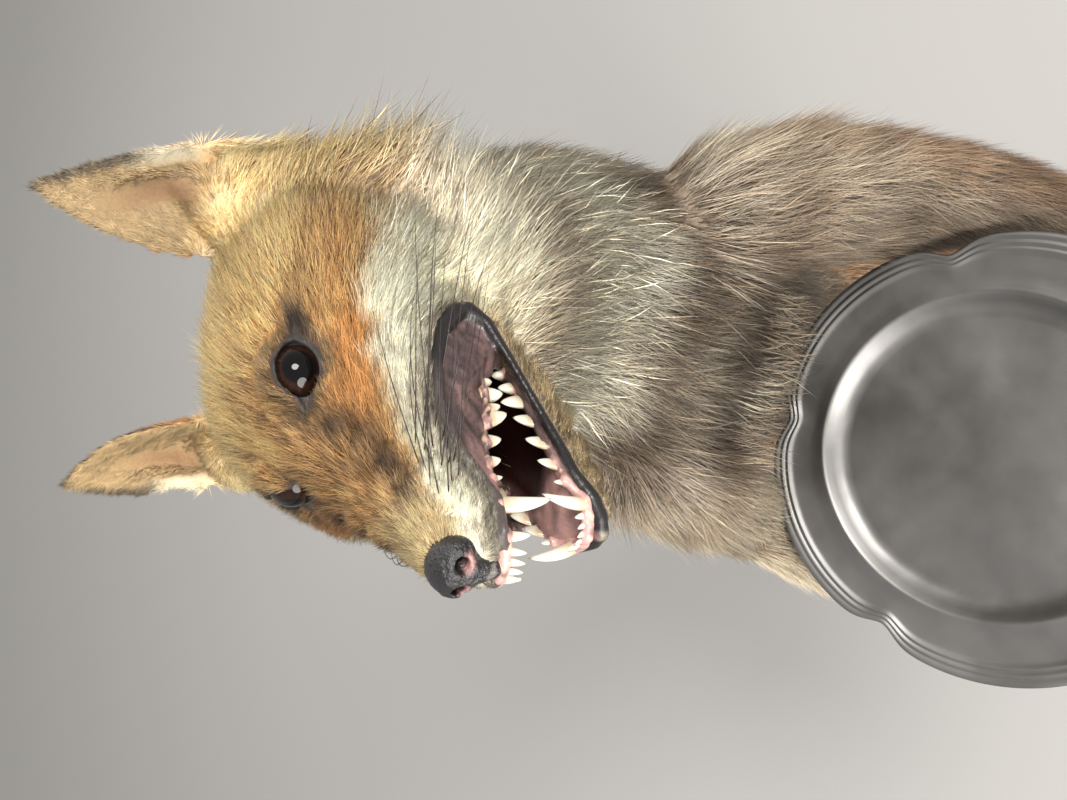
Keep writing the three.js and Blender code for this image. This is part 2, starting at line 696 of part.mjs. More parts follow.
for (const [side, sign] of [["left", 1], ["right", -1]]) {
  const hip = [HIP.side, HIP.back, HIP.height];
  const thigh = {
    points: mirrored([hip, [68, -24, 252], HIND.knee], sign), girth: THIGH_GIRTH, rounds: 5, sides: 12,
  };
  const shank = {
    points: mirrored([HIND.knee, [71, -8, 160], HIND.hock], sign), girth: SHANK_GIRTH, rounds: 4,
  };
  const foot = {
    points: mirrored([HIND.hock, [65, 18, 72], HIND.ball, HIND.toe], sign), girth: HIND_FOOT_GIRTH, rounds: 4, sides: 8,
  };
  add(`thigh_${side}`, less(limb(thigh), trunkRoom), FINISH.ginger);
  add(`shank_${side}`, less(limb(shank), limb({ ...thigh, grow: GAP }), trunkRoom), FINISH.ginger);
  const sole = BOARD.height + GAP;
  const footBody = joined(limb(foot), toes({
    root: [sign * HIND.toe[0], HIND.toe[1], HIND.toe[2]], ahead: [0.06 * sign, -1, 0],
    side: [1, 0, 0], up: [0, 0, 1], spread: 10, length: 34, radius: 8.5,
  }));
  const floor = new THREE.BoxGeometry(200, 300, 60).translate(sign * HIND.toe[0], 0, sole - 30);
  add(`hind_foot_${side}`, less(footBody, limb({ ...shank, grow: GAP }), solid(floor)), FINISH.dark);
}

const tail = limb({
  points: TAIL_LINE,
  girth: [[0, 24, 24], [0.2, 36, 36], [0.5, 50, 48], [0.78, 44, 42], [1, 14, 14]],
  rounds: 11,
  sides: 11,
});
const deck = new THREE.BoxGeometry(600, 600, 100).translate(0, 0, BOARD.height + GAP - 50);
add("tail", less(tail, trunkRoom, solid(deck)), FINISH.brush);

// The head, parted from the lower jaw by a thin cut behind the corner of the mouth.
const cutTop = [MOUTH_CORNER.x + 1, MOUTH_CORNER.z];
const jawRegion = (shift) => sidewaysSlab([
  [cutTop[0] + shift, cutTop[1]], [-58 + shift, -130], [130, -130], [130, MOUTH_CORNER.z],
], 90);
const openings = [mouthWedge(), mouthHollow()];
const sockets = [1, -1].flatMap((sign) => [eyeball(sign, GAP), lidOpening(sign)]);
const noseRoom = limb({ ...NOSE, grow: GAP });
const opened = less(headBody(), ...openings);
add("head", less(opened, jawRegion(-GAP / 2), noseRoom, ...sockets), FINISH.ginger, headGroup);
add("lower_jaw", opened.intersect(jawRegion(GAP / 2)), FINISH.pale, headGroup);
add("nose", less(nosePad(), mouthWedge()), FINISH.leather, headGroup);
add("upper_teeth", toothRow(UPPER_TEETH, 1), FINISH.gum, headGroup);
add("lower_teeth", toothRow(LOWER_TEETH, 0.86), FINISH.gum, headGroup);

const headClear = headBody(GAP);
for (const [side, sign] of [["left", 1], ["right", -1]]) {
  add(`eye_${side}`, eyeball(sign), FINISH.glass, headGroup);
  add(`ear_${side}`, less(ear(sign), headClear), FINISH.ginger, headGroup);
}

export default fox;
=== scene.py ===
"""A life-size taxidermy red fox that carries a pewter plate: skin, coat, mouth, eyes, plate and board."""
import json
import math

import bpy
import numpy as np
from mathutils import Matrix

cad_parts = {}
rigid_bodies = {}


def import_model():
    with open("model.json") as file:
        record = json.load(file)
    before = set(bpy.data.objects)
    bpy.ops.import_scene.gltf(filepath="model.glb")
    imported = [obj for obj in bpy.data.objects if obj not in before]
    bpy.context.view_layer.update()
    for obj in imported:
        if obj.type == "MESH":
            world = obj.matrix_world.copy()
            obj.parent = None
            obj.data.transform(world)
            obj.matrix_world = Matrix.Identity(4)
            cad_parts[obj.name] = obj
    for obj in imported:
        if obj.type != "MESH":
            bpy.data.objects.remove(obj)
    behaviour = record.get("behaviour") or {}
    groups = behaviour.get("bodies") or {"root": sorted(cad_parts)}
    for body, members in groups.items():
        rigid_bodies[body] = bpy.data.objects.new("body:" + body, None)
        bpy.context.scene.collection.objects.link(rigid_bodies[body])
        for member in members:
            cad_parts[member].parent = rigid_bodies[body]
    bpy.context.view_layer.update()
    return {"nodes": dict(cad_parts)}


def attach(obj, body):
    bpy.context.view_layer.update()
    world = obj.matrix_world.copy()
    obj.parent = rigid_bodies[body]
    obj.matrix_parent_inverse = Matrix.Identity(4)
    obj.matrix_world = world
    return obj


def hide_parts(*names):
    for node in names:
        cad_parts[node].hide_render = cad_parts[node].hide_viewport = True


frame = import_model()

import openvdb
from mathutils import Matrix, Vector

MM = 0.001


# ---------------- small helpers
def unit(v):
    """Vectors of length one."""
    v = np.asarray(v, float)
    return v / np.maximum(np.linalg.norm(v, axis=-1, keepdims=True), 1e-9)


def ramp(x, low, high):
    """0 below low, 1 above high and smooth between."""
    t = np.clip((x - low) / (high - low), 0, 1)
    return t * t * (3 - 2 * t)


def mix(a, b, t):
    """Colours or vectors a and b, mixed by t at each point."""
    t = np.asarray(t)[..., None]
    return np.asarray(a) * (1 - t) + np.asarray(b) * t


def blob(*terms):
    """A bell of height 1 over one or more axes, each given as its value, middle and width."""
    return np.exp(-sum(((value - middle) / width) ** 2 for value, middle, width in terms))


def hump(x, middle, width):
    """A bell of height 1 along one axis."""
    return blob((x, middle, width))


def paint(colour, *layers):
    """A colour with others laid over it in turn, each by its share at every point."""
    for over, share in layers:
        colour = mix(colour, over, share)
    return colour


def folded(q):
    """Points with the right side turned over onto the left one."""
    return np.stack([q[..., 0], np.abs(q[..., 1]), q[..., 2]], -1)


def split(q):
    """Each point's x, distance from the middle plane, and z."""
    return q[..., 0], np.abs(q[..., 1]), q[..., 2]


def smooth_min(a, b, k):
    """The union of two distance fields, with a fillet of about k."""
    h = np.clip(0.5 + 0.5 * (b - a) / k, 0, 1)
    return b * (1 - h) + a * h - k * h * (1 - h)


def smooth_max(a, b, k):
    """The common part of two distance fields, with a fillet of about k."""
    return -smooth_min(-a, -b, k)


def along(points, line, radii=None):
    """Each point's distance to a polyline, less its radius; the place along it, 0 to 1; its direction."""
    line = np.asarray(line, float)
    radii = np.zeros(len(line)) if radii is None else np.asarray(radii, float)
    step = np.linalg.norm(np.diff(line, axis=0), axis=1)
    start = np.concatenate([[0], np.cumsum(step)])
    best = np.full(points.shape[:-1], 1e9)
    place = np.zeros(points.shape[:-1])
    way = np.zeros(points.shape)
    for i, length in enumerate(step):
        axis = (line[i + 1] - line[i]) / length
        t = np.clip(((points - line[i]) @ axis) / length, 0, 1)
        gap = np.linalg.norm(points - line[i] - t[..., None] * (line[i + 1] - line[i]), axis=-1)
        gap = gap - (radii[i] * (1 - t) + radii[i + 1] * t)
        closer = gap < best
        best = np.where(closer, gap, best)
        place = np.where(closer, (start[i] + t * length) / start[-1], place)
        way[closer] = axis
    return best, place, way


def noise(points, size, seed):
    """Smooth values of about -1 to 1 whose features are about size across."""
    picks = np.random.default_rng(seed)
    total = np.zeros(points.shape[:-1])
    for _ in range(7):
        wave = unit(picks.normal(size=3)) * 2 * math.pi / size * picks.uniform(0.6, 1.5)
        total += np.sin(points @ wave + picks.uniform(0, 6.28))
    return total / 2.6


# ---------------- the head's own frame, in mm
HEAD_AT = np.array([-38.0, -80.0, 795.0])
HEAD = np.array([[-0.249, -0.924, 0.290], [0.952, -0.180, 0.244], [-0.174, 0.337, 0.925]])


def to_head(p):
    """World points in the head's frame."""
    return (p - HEAD_AT) @ HEAD.T


def from_head(q):
    """Points of the head's frame in the world."""
    return HEAD_AT + np.asarray(q, float) @ HEAD


EYE_RADIUS = 10.0
EYE_MIDDLE = np.array([-7.0, 21.0, -1.0])
GAZE = unit([0.703, 0.703, 0.105])
TO_INNER_CORNER = np.array([0.77, -0.638, -0.036])
LID_ALONG = unit(TO_INNER_CORNER - GAZE * (GAZE @ TO_INNER_CORNER))
LID_UP = np.cross(LID_ALONG, GAZE) * np.sign(np.cross(LID_ALONG, GAZE)[2])

# The lips' edges and the tooth rows, from the front back, on the left side: x, y, z.
UPPER_LIP = np.array([
    [79, 0, -43], [78, 6, -43], [74.7, 10.5, -43.6], [64, 14, -45.8], [55, 16.6, -43.2],
    [48.5, 19.9, -40.5], [41.5, 23, -38.5], [27.6, 28.3, -38], [15.4, 35.5, -40.7],
    [3.3, 41, -46.5], [-3.5, 44, -54],
])
LOWER_LIP = np.array([
    [70.5, 0, -80.5], [69.5, 4.5, -80], [65, 9.5, -78.5], [56, 13.6, -75.6], [46.5, 17, -75.2],
    [32, 23, -73], [13, 33, -68.5], [-1, 40.5, -64.5], [-5, 43.5, -58.5],
])
UPPER_GUM = np.array([[80, -45], [63, -48], [46, -50.5], [37, -53], [24, -58], [10, -61], [-10, -60],
                      [-45, -62]])
LOWER_GUM = np.array([[73, -74], [64, -75], [58, -71], [40, -71], [17, -71.5], [0, -70], [-20, -67],
                      [-45, -66]])
ARCH = np.array([[81, 3], [76, 8], [66, 12], [52, 12.6], [37, 16], [24, 19], [10, 22], [-10, 25],
                 [-45, 20]])


def by_x(table, x, column=1):
    """A landmark table's column, read at x."""
    order = np.argsort(table[:, 0])
    return np.interp(x, table[order, 0], table[order, column])


# ---------------- the body's parts: line, radii, coat length
COLUMN = [[-8, -22, 777], [-4, -27, 762], [3, -33, 735], [7, -34, 700], [14, -25, 650], [9, -24, 600],
          [2, -26, 540], [0, -24, 470], [0, -17, 400], [0, -4, 330], [0, 5, 275], [0, 12, 226]]
COLUMN_HALF = [34, 56, 70, 72, 74, 84, 86, 76, 70, 70, 64, 38]
LEFT_ARM = [[50, -40, 578], [88, -82, 542], [111, -124, 501], [115, -164, 466], [111, -206, 430],
            [98, -226, 427], [72, -240, 430]]
RIGHT_ARM = [[-46, -32, 580], [-79, -54, 520], [-102, -76, 458], [-111, -130, 438], [-114, -190, 425],
             [-106, -216, 424], [-84, -236, 429]]
ARM_HALF = [40, 41, 33, 27, 20, 20, 17]
LEFT_LEG = [[56, 8, 300], [70, -60, 202], [66, 40, 110], [64, -8, 44], [66, -24, 38]]
RIGHT_LEG = [[-x, y, z] for x, y, z in LEFT_LEG]
LEG_HALF = [48, 31, 18, 15, 17]
TAIL = [[0, 38, 262], [0, 104, 214], [0, 138, 148], [22, 146, 92], [78, 140, 70], [128, 104, 56]]
TAIL_HALF = [24, 36, 46, 48, 44, 14]
PARTS = [
    ("column", COLUMN, COLUMN_HALF, [26, 28, 30, 32, 34, 34, 34, 34, 34, 34, 34, 32]),
    ("left_arm", LEFT_ARM, ARM_HALF, [32, 30, 26, 20, 14, 10, 7]),
    ("right_arm", RIGHT_ARM, ARM_HALF, [32, 30, 26, 20, 14, 10, 7]),
    ("left_leg", LEFT_LEG, LEG_HALF, [32, 26, 12, 9, 7]),
    ("right_leg", RIGHT_LEG, LEG_HALF, [32, 26, 12, 9, 7]),
    ("tail", TAIL, TAIL_HALF, [34, 50, 56, 58, 56, 44]),
]
LIFT_SHARE = 0.4


def body_parts(p):
    """Each point's blend of the body's parts: their shares, the coat's length and its lie."""
    shares, lengths, ways = [], [], []
    for _, line, half, length in PARTS:
        gap, place, way = along(p, line, half)
        step = np.linalg.norm(np.diff(np.asarray(line, float), axis=0), axis=1)
        at = np.concatenate([[0], np.cumsum(step)]) / step.sum()
        shares.append(np.exp(-np.clip(gap, -40, 200) / 7.0))
        lengths.append(np.interp(place, at, length))
        ways.append(way)
    shares = np.array(shares)
    shares = shares / shares.sum(0)
    length = (shares * np.array(lengths)).sum(0)
    way = unit((shares[..., None] * np.array(ways)).sum(0))
    return shares, length, way


def head_coat(q):
    """The coat's length on the head, in mm, at points in the head's frame."""
    x, y, z = split(q)
    length = 5 + 6 * ramp(-x, -50, -15) + 6 * ramp(-x, -10, 30) + 10 * ramp(-x, 30, 95)
    length = length + 9 * (ramp(y, 38, 60) * ramp(-x, -25, 15) * ramp(-z, 14, 34))
    length = length + 5 * (ramp(-z, 70, 86) * ramp(-x, -60, 0))
    fold = folded(q)
    near_eye = np.linalg.norm(fold - (-4, 23, -1), axis=-1)
    length = length * (0.42 + 0.58 * ramp(near_eye, 15, 34))
    dip = blob((x, 17, 12), (y, 13, 8), (z, 1, 10))
    length = length * (1 - 0.45 * dip)
    root = along(fold, EAR_ROOT, EAR_ROOT_HALF)[0]
    short = np.minimum(length, 6 + 9 * ramp(root, 0, 18))
    length = length + (short - length) * ramp(z, -30, -4)
    lip = np.minimum(along(fold, UPPER_LIP)[0], along(fold, LOWER_LIP)[0])
    length = length * (0.5 + 0.5 * ramp(lip, 3, 16))
    ear = ramp(z, 18, 30) * ramp(y, 25, 34)
    return length * (1 - ear) + 4 * ear


def coat_depth(length):
    """How far the skin lies inside the coat's outline."""
    return 0.6 + LIFT_SHARE * length


# ---------------- distance fields
class Field:
    """Signed distances on a regular grid of points, in mm, negative inside."""

    def __init__(self, low, high, step):
        self.low = np.array(low, float)
        self.step = step
        self.shape = tuple(int(n) for n in np.ceil((np.array(high) - low) / step) + 1)
        self.d = np.full(self.shape, 50.0, np.float32)

    def points(self, window=None):
        """The grid's points in a window, or all of them."""
        axes = []
        for i in range(3):
            lo, hi = (0, self.shape[i]) if window is None else window[i]
            axes.append(self.low[i] + self.step * np.arange(lo, hi))
        return np.stack(np.meshgrid(*axes, indexing="ij"), -1)

    def window(self, low, high):
        """The first and last grid number along each axis of a box."""
        out = []
        for i in range(3):
            lo = int(max(0, math.floor((low[i] - self.low[i]) / self.step)))
            hi = int(min(self.shape[i], math.ceil((high[i] - self.low[i]) / self.step) + 1))
            out.append((lo, hi))
        return out

    def change(self, low, high, how):
        """Rewrites the distances in a box: how(points, distances) gives the new ones."""
        w = self.window(low, high)
        part = tuple(slice(a, b) for a, b in w)
        self.d[part] = how(self.points(w), self.d[part])

    def add_line(self, line, half, margin, fillet):
        """Adds a tube round a polyline, with a fillet."""
        self.change(np.min(line, 0) - margin, np.max(line, 0) + margin,
                    lambda p, d: smooth_min(d, along(p, line, half)[0], fillet))

    def wide(self, values, coarse):
        """Values on a coarser grid of the same box, read at every point of this one."""
        out = values
        for axis in range(3):
            at = np.arange(self.shape[axis]) / coarse
            first = np.minimum(at.astype(int), out.shape[axis] - 2)
            t = np.clip(at - first, 0, 1).astype(np.float32)
            shape = [1, 1, 1]
            shape[axis] = -1
            t = t.reshape(shape)
            out = np.take(out, first, axis) * (1 - t) + np.take(out, first + 1, axis) * t
        return out

    def coarse(self, function, coarse):
        """function(points) worked out on every coarse-th point and spread over the grid."""
        counts = [math.ceil(n / coarse) + 1 for n in self.shape]
        axes = [low + self.step * coarse * np.arange(n) for low, n in zip(self.low, counts)]
        values = function(np.stack(np.meshgrid(*axes, indexing="ij"), -1))
        return self.wide(values.astype(np.float32), coarse)

    def blur(self, radius):
        """A soft blur of about radius mm."""
        reach = max(1, int(round(radius / self.step * 1.5)))
        taps = np.exp(-((np.arange(-reach, reach + 1) * self.step / radius) ** 2))
        taps = (taps / taps.sum()).astype(np.float32)
        d = self.d
        for axis in range(3):
            padded = np.pad(d, [(reach, reach) if a == axis else (0, 0) for a in range(3)], mode="edge")
            total = np.zeros_like(d)
            for i, tap in enumerate(taps):
                part = [slice(None)] * 3
                part[axis] = slice(i, i + d.shape[axis])
                total += tap * padded[tuple(part)]
            d = total
        return d

    def from_mesh(self, points, triangles, reach):
        """Distances to a closed mesh, up to reach mm away."""
        transform = openvdb.createLinearTransform(voxelSize=self.step)
        grid = openvdb.FloatGrid.createLevelSetFromPolygons(
            (points - self.low).astype(np.float32), triangles=triangles.astype(np.uint32),
            transform=transform, halfWidth=reach / self.step)
        out = np.full(self.shape, reach, np.float32)
        grid.copyToArray(out, ijk=(0, 0, 0))
        return out

    def to_mesh(self, level=0.0, adapt=0.0):
        """The surface at a level, as points and triangles."""
        transform = openvdb.createLinearTransform(voxelSize=self.step)
        grid = openvdb.FloatGrid(float(self.d.max()))
        grid.transform = transform
        grid.copyFromArray(np.ascontiguousarray(self.d, np.float32), ijk=(0, 0, 0))
        points, triangles, quads = grid.convertToPolygons(isovalue=level, adaptivity=adapt)
        halves = np.concatenate([quads[:, [0, 1, 2]], quads[:, [0, 2, 3]]]) if len(quads) else quads[:, :3]
        faces = np.concatenate([triangles, halves]) if len(triangles) else halves
        points, faces = points.astype(float) + self.low, faces.astype(int)
        a, b, c = (points[faces[:, k]] - self.low for k in range(3))
        inside_out = (np.cross(a, b) * c).sum() < 0
        return points, faces[:, ::-1] if inside_out else faces


def joined(parts):
    """Meshes, each as points and faces, put together as one."""
    points, faces, count = [], [], 0
    for p, f in parts:
        points.append(p)
        faces.append(f + count)
        count += len(p)
    return np.concatenate(points), np.concatenate(faces)


def node_mesh(names):
    """The CAD nodes' points, in mm, and triangles, as one mesh."""
    parts = []
    for name in names:
        mesh = frame["nodes"][name].data
        mesh.calc_loop_triangles()
        p = np.empty(len(mesh.vertices) * 3)
        mesh.vertices.foreach_get("co", p)
        t = np.empty(len(mesh.loop_triangles) * 3, int)
        mesh.loop_triangles.foreach_get("vertices", t)
        parts.append((p.reshape(-1, 3) / MM, t.reshape(-1, 3)))
    return joined(parts)


def closed_field(field, points, triangles, closing, reach):
    """Distances to the mesh's outer surface, with gaps under twice closing filled."""
    field.d = field.from_mesh(points, triangles, max(closing + 3 * field.step, 6))
    outer, faces = field.to_mesh(closing)
    field.d = field.from_mesh(outer, faces, reach) + closing


SIDES = ("left", "right")
BODY_STEP = 3.0
HEAD_STEP = 1.15
HEAD_LOW = (-152, -104, -142)
HEAD_HIGH = (92, 104, 100)
EARS_LOW = (-112, -104, -32)
EARS_HIGH = (-40, 104, 44)
CLOSING = 3.0
FLESH = ["trunk", "neck", "head", "lower_jaw", "tail"] + [
    f"{part}_{side}" for part in ("upper_arm", "forearm", "forepaw", "thigh", "shank", "hind_foot", "ear")
    for side in SIDES]
CUT_LEVEL = 665.0
CUT_AT_Y = -140.0
CUT_SLOPE = 0.333
CUT_OVERLAP = 3
BLEND_AT_CUT = 30


def above_cut(p):
    """Height above the plane through the upper neck where the head's fine skin takes over."""
    return (p[..., 2] - CUT_LEVEL - CUT_SLOPE * (p[..., 1] - CUT_AT_Y)) / math.sqrt(1 + CUT_SLOPE ** 2)


# Flesh that closes the gaps between the chest and the forelegs: lines and radii.
ARMPITS = [([[-58, -58, 556], [-74, -74, 514], [-90, -88, 470]], [32, 30, 20]),
           ([[66, -70, 556], [88, -92, 520], [98, -112, 486]], [32, 30, 20]),
           ([[84, -88, 505], [90, -120, 472], [100, -150, 452]], [22, 17, 14])]
TOE_HALF = [8, 8.5, 7]
TOE_PLACES = (-1.5, -0.5, 0.5, 1.5)
BODY_LOW = (-160, -285, 8)
BODY_HIGH = (160, 215, 800)


def body_skin():
    """The skin below the head's cut, in world mm."""
    field = Field(BODY_LOW, BODY_HIGH, BODY_STEP)
    points, triangles = node_mesh([name for name in FLESH if not name.startswith("ear")])
    closed_field(field, points, triangles, CLOSING, 45.0)
    depth = field.coarse(lambda p: coat_depth(body_parts(p)[1]), 5)
    head_depth = field.coarse(lambda p: coat_depth(head_coat(to_head(p))), 5)
    upper = field.coarse(lambda p: ramp(above_cut(p), -BLEND_AT_CUT, BLEND_AT_CUT), 5)
    field.d = field.d + depth * (1 - upper) + head_depth * upper
    for line, half in ARMPITS:
        field.add_line(line, half, 45, 16.0)
    field.d = field.blur(4.0)
    for toe_line in toe_lines():
        field.add_line(toe_line, TOE_HALF, 14, 3.0)
    field.change((-160, -285, 640), BODY_HIGH, lambda p, d: np.maximum(d, above_cut(p) - CUT_OVERLAP))
    return field.to_mesh(adapt=0.02)


def toe_lines():
    """Four toes on each foot, as short lines from the foot's ball."""
    lines = []
    for paw, knuckle in ((LEFT_ARM[-1], LEFT_ARM[-2]), (RIGHT_ARM[-1], RIGHT_ARM[-2])):
        ahead = unit(np.array(paw, float) - knuckle)
        across = unit(np.cross(ahead, (0, 0, 1)))
        for k in TOE_PLACES:
            start = np.array(paw) - ahead * 6 + across * k * 6.5
            tip = start + ahead * (16 - 2.2 * k * k) + across * k * 2
            lines.append(np.array([start, (start + tip) / 2 + (0, 0, 2), tip - (0, 0, 3)]))
    for side in (1, -1):
        for k in TOE_PLACES:
            start = np.array([66 * side + k * 8, -22, 36])
            tip = start + (k * 2, -20 + 2 * k * k, -3)
            lines.append(np.array([start, (start + tip) / 2 + (0, 0, 2), tip]))
    return lines


LID_HALF = 10.2
LID_RADIUS = 12.0
FAR_WIDER = 1.2


def lid_frame(q, side):
    """Points in the eye's own frame: along the lids to the inner corner, up, and out along the gaze."""
    r = q * np.array([1, side, 1]) - EYE_MIDDLE
    return r @ LID_ALONG, r @ LID_UP, r @ GAZE


def opening(p, u):
    """How far a point is outside the lids' opening, in mm; negative within it."""
    arc = np.clip(1 - (np.abs(p) / LID_HALF) ** 2.2, 0, 1) ** 0.75
    upper = 7.3 * arc
    lower = 6.3 * arc
    tear = 1.6 * np.clip(1 - np.abs(p - 9.5) / 5.5, 0, 1)
    middle = -0.6 * ramp(p, 4, 12)
    gap = np.maximum(u - middle - np.maximum(upper, tear), middle - u - np.maximum(lower, tear)) * 0.85
    return np.maximum(gap, np.maximum(p - 15, -LID_HALF - p))


def with_lids(q, d, side):
    """The socket filled, the lids' shell added and the opening cut."""
    p, u, g = lid_frame(q, side)
    r = np.sqrt(p * p + u * u + g * g)
    d = smooth_min(d, r - LID_RADIUS, 5.0)
    gap = opening(p, u) - (FAR_WIDER if side < 0 else 0)
    return smooth_max(d, -np.maximum(gap, 4.0 - g), 1.0)


def mouth_room(q):
    """Positive within the mouth's opening, in mm."""
    x, y, z = split(q)
    arch = by_x(ARCH, x) + 1.5
    top_gum = by_x(UPPER_GUM, x)
    low_gum = by_x(LOWER_GUM, x)
    top_lip = by_x(UPPER_LIP, x, 2)
    low_lip = by_x(LOWER_LIP, x, 2)
    top_out = np.maximum(by_x(UPPER_LIP, x), arch + 1.5)
    low_out = np.maximum(by_x(LOWER_LIP, x), arch + 1.5)
    s = np.clip((y - arch) / (top_out - arch), 0, 1)
    wrinkle = 0.8 * np.sin(s * 15 + 0.12 * x + np.sin(x * 0.35)) * ramp(s, 0, 0.2) * ramp(1 - s, 0.05, 0.3)
    top = top_gum + (top_lip - top_gum) * s ** 0.8 + wrinkle
    s = np.clip((y - arch) / (low_out - arch), 0, 1)
    bottom = low_gum + (low_lip - low_gum) * s - 2.5 * s * (1 - s) * 2 + 0.4 * np.sin(s * 12)
    inner = ramp(arch - 2 - y, 0, 4)
    vault = 8.5 - 2.5 * (y / np.maximum(arch, 1)) ** 2 + 0.5 * np.sin(x * 0.9)
    top = top + inner * vault * ramp(82 - x, 4, 14)
    bottom = bottom - inner * (1.2 + 4.8 * ramp(-x, -50, -30)) * ramp(74 - x, 2, 10)
    back = x - (-4.5 - 0.06 * (44 - y))
    throat = np.minimum(np.minimum(x + 44, 21 - y), 30.0)
    web_front = np.where(q[..., 1] < 0, 46.0, 11.0 + 0.8 * (z + 62))
    web_out = np.where(q[..., 1] < 0, 60.0, np.maximum(top_out, low_out) - 2.6)
    web = np.minimum(web_front - x, np.minimum(y - arch - 0.8, web_out - y))
    web = web + 0.5 * np.sin(x * 0.9 + z * 0.5) + 0.3 * np.sin(z * 1.3 - 0.4 * x)
    room = np.minimum(np.minimum(top - z, z - bottom) * 0.8, np.maximum(back, throat))
    return np.minimum(room, -web)


LIP_HALF_UP = [1.4, 1.4, 1.3, 1.2, 1.2, 1.2, 1.3, 1.5, 1.9, 2.6, 3.2]
LIP_HALF_LOW = [2.6, 2.5, 2.3, 1.9, 1.6, 1.4, 1.5, 2.1, 3.2]


MOUTH_BACK = -46.0


def mouth_filling(q):
    """Distances to the flesh that the mouth is cut from: all that lies between the lips."""
    x, y, z = split(q)
    top, low = by_x(UPPER_LIP, x, 2), by_x(LOWER_LIP, x, 2)
    t = np.clip((z - low) / (top - low), 0, 1)
    arch = by_x(ARCH, x) + 1.5
    side = by_x(LOWER_LIP, x) * (1 - t) + np.maximum(by_x(UPPER_LIP, x), arch) * t - 1.0
    ahead = x - (67.5 + 9.5 * t)
    between = np.maximum.reduce([y - side, low - 4 - z, z - top - 6, ahead, MOUTH_BACK - x])
    half = np.minimum(by_x(LOWER_LIP, x) - 2, 25)
    floor, roof = by_x(LOWER_GUM, x) - 9 - z, z - by_x(UPPER_GUM, x) - 14
    heart = [y - half, floor, roof, x - 64, MOUTH_BACK - 16 - x]
    return np.minimum(between, np.maximum.reduce(heart)) * 0.8


MUZZLE_AT = [52, 58, 66, 73, 76]
JAW_LINE = np.array([[64, 4, -80.5], [46, 8, -81], [22, 13, -80]])
JAW_HALF = [5.5, 7, 6.5]
PALATE_LINE = np.array([[73, 2.5, -38], [64, 7.5, -40], [50, 10.5, -42], [34, 16, -45], [16, 22, -48],
                        [-4, 28, -51]])
PALATE_HALF = [6, 6.5, 7, 8, 10, 11]
SNOUT_LINE = np.array([[54, 0, -30], [66.5, 0, -30]])
SNOUT_HALF = [10.5, 9.4]
RUFF_LINE = np.array([[-82, 60, 4], [-82, 58, -24], [-84, 60, -48]])
RUFF_HALF = [12, 17, 17]
EAR_FOOT = np.array([-80, 56, 8])
EAR_TIP = np.array([-78, 61, 74])
EAR_ROOT = np.array([[-68, 34, -18], [-78, 44, -2], [-84, 53, 10], [-88, 60, 24]])
EAR_ROOT_HALF = [16, 16, 13, 6]


def add_folded(field, low, high, line, half, fillet):
    """Adds a tube round a line of the left side, and its mirror image, within a box."""
    field.change(low, high, lambda q, d: smooth_min(d, along(folded(q), line, half)[0], fillet))


def head_skin():
    """The head's skin and the upper neck's, with lips, lids and ears, in the head's frame."""
    field = Field(HEAD_LOW, HEAD_HIGH, HEAD_STEP)
    near = [name for name in FLESH if name.startswith(("head", "lower", "neck", "trunk", "upper_arm"))]
    points, triangles = node_mesh(near)
    closed_field(field, to_head(points), triangles, CLOSING, 26.0)
    depth = field.coarse(lambda q: coat_depth(head_coat(q)), 8)
    neck_depth = field.coarse(lambda q: coat_depth(body_parts(from_head(q))[1]), 8)
    lower = field.coarse(lambda q: 1 - ramp(above_cut(from_head(q)), -BLEND_AT_CUT, BLEND_AT_CUT), 8)
    field.d = field.d + depth * (1 - lower) + neck_depth * lower
    soft = field.blur(4.5)
    firm = field.blur(1.8)
    muzzle = field.coarse(lambda q: ramp(q[..., 0], 0, 40), 8)
    field.d = soft * (1 - muzzle) + firm * muzzle
    add_folded(field, (-20, -40, -112), (90, 40, -50), JAW_LINE, JAW_HALF, 4.0)
    shape_face(field)
    add_folded(field, (-20, -44, -70), (92, 44, -20), PALATE_LINE, PALATE_HALF, 3.0)
    field.change((-70, -52, -98), (86, 52, -26), lambda q, d: smooth_min(d, mouth_filling(q), 1.5))
    add_folded(field, (50, -20, -50), (80, 20, -10), SNOUT_LINE, SNOUT_HALF, 3.0)
    add_folded(field, (-130, -100, -90), (-40, 100, 30), RUFF_LINE, RUFF_HALF, 12.0)
    for side in (1, -1):
        middle = EYE_MIDDLE * (1, side, 1)
        field.change(middle - 24, middle + 24, lambda q, d: with_lids(q, d, side))
    ears = Field(HEAD_LOW, HEAD_HIGH, HEAD_STEP)
    points, triangles = node_mesh(["ear_left", "ear_right"])
    points = to_head(points)
    up = ear_parts(points)[1]
    axis = EAR_FOOT + np.clip(up, 0, 1)[:, None] * (EAR_TIP - EAR_FOOT)
    wider = 0.3 * ramp(up, 0.3, 0.8) * (points[:, 1] < 0)
    points = points + (points - axis * (1, -1, 1)) * (wider[:, None] * (1, 1, 0))
    ears.d = ears.from_mesh(points, triangles, 12.0) + 0.2
    ears.d = ears.blur(1.0)
    add_folded(ears, EARS_LOW, EARS_HIGH, EAR_ROOT, EAR_ROOT_HALF, 6.0)
    field.d = smooth_min(field.d, ears.d, 5.0)
    field.change((-46, -52, -90), (92, 52, -30), lambda q, d: smooth_max(d, mouth_room(q), 1.6))
    for side in (1, -1):
        for line, half in ((UPPER_LIP, LIP_HALF_UP), (LOWER_LIP, LIP_HALF_LOW)):
            field.add_line(line * (1, side, 1), half, 8, 2.2)
    field.change(HEAD_LOW, (92, 104, 0), lambda q, d: np.maximum(d, -above_cut(from_head(q)) - CUT_OVERLAP))
    return field.to_mesh(adapt=0.01)


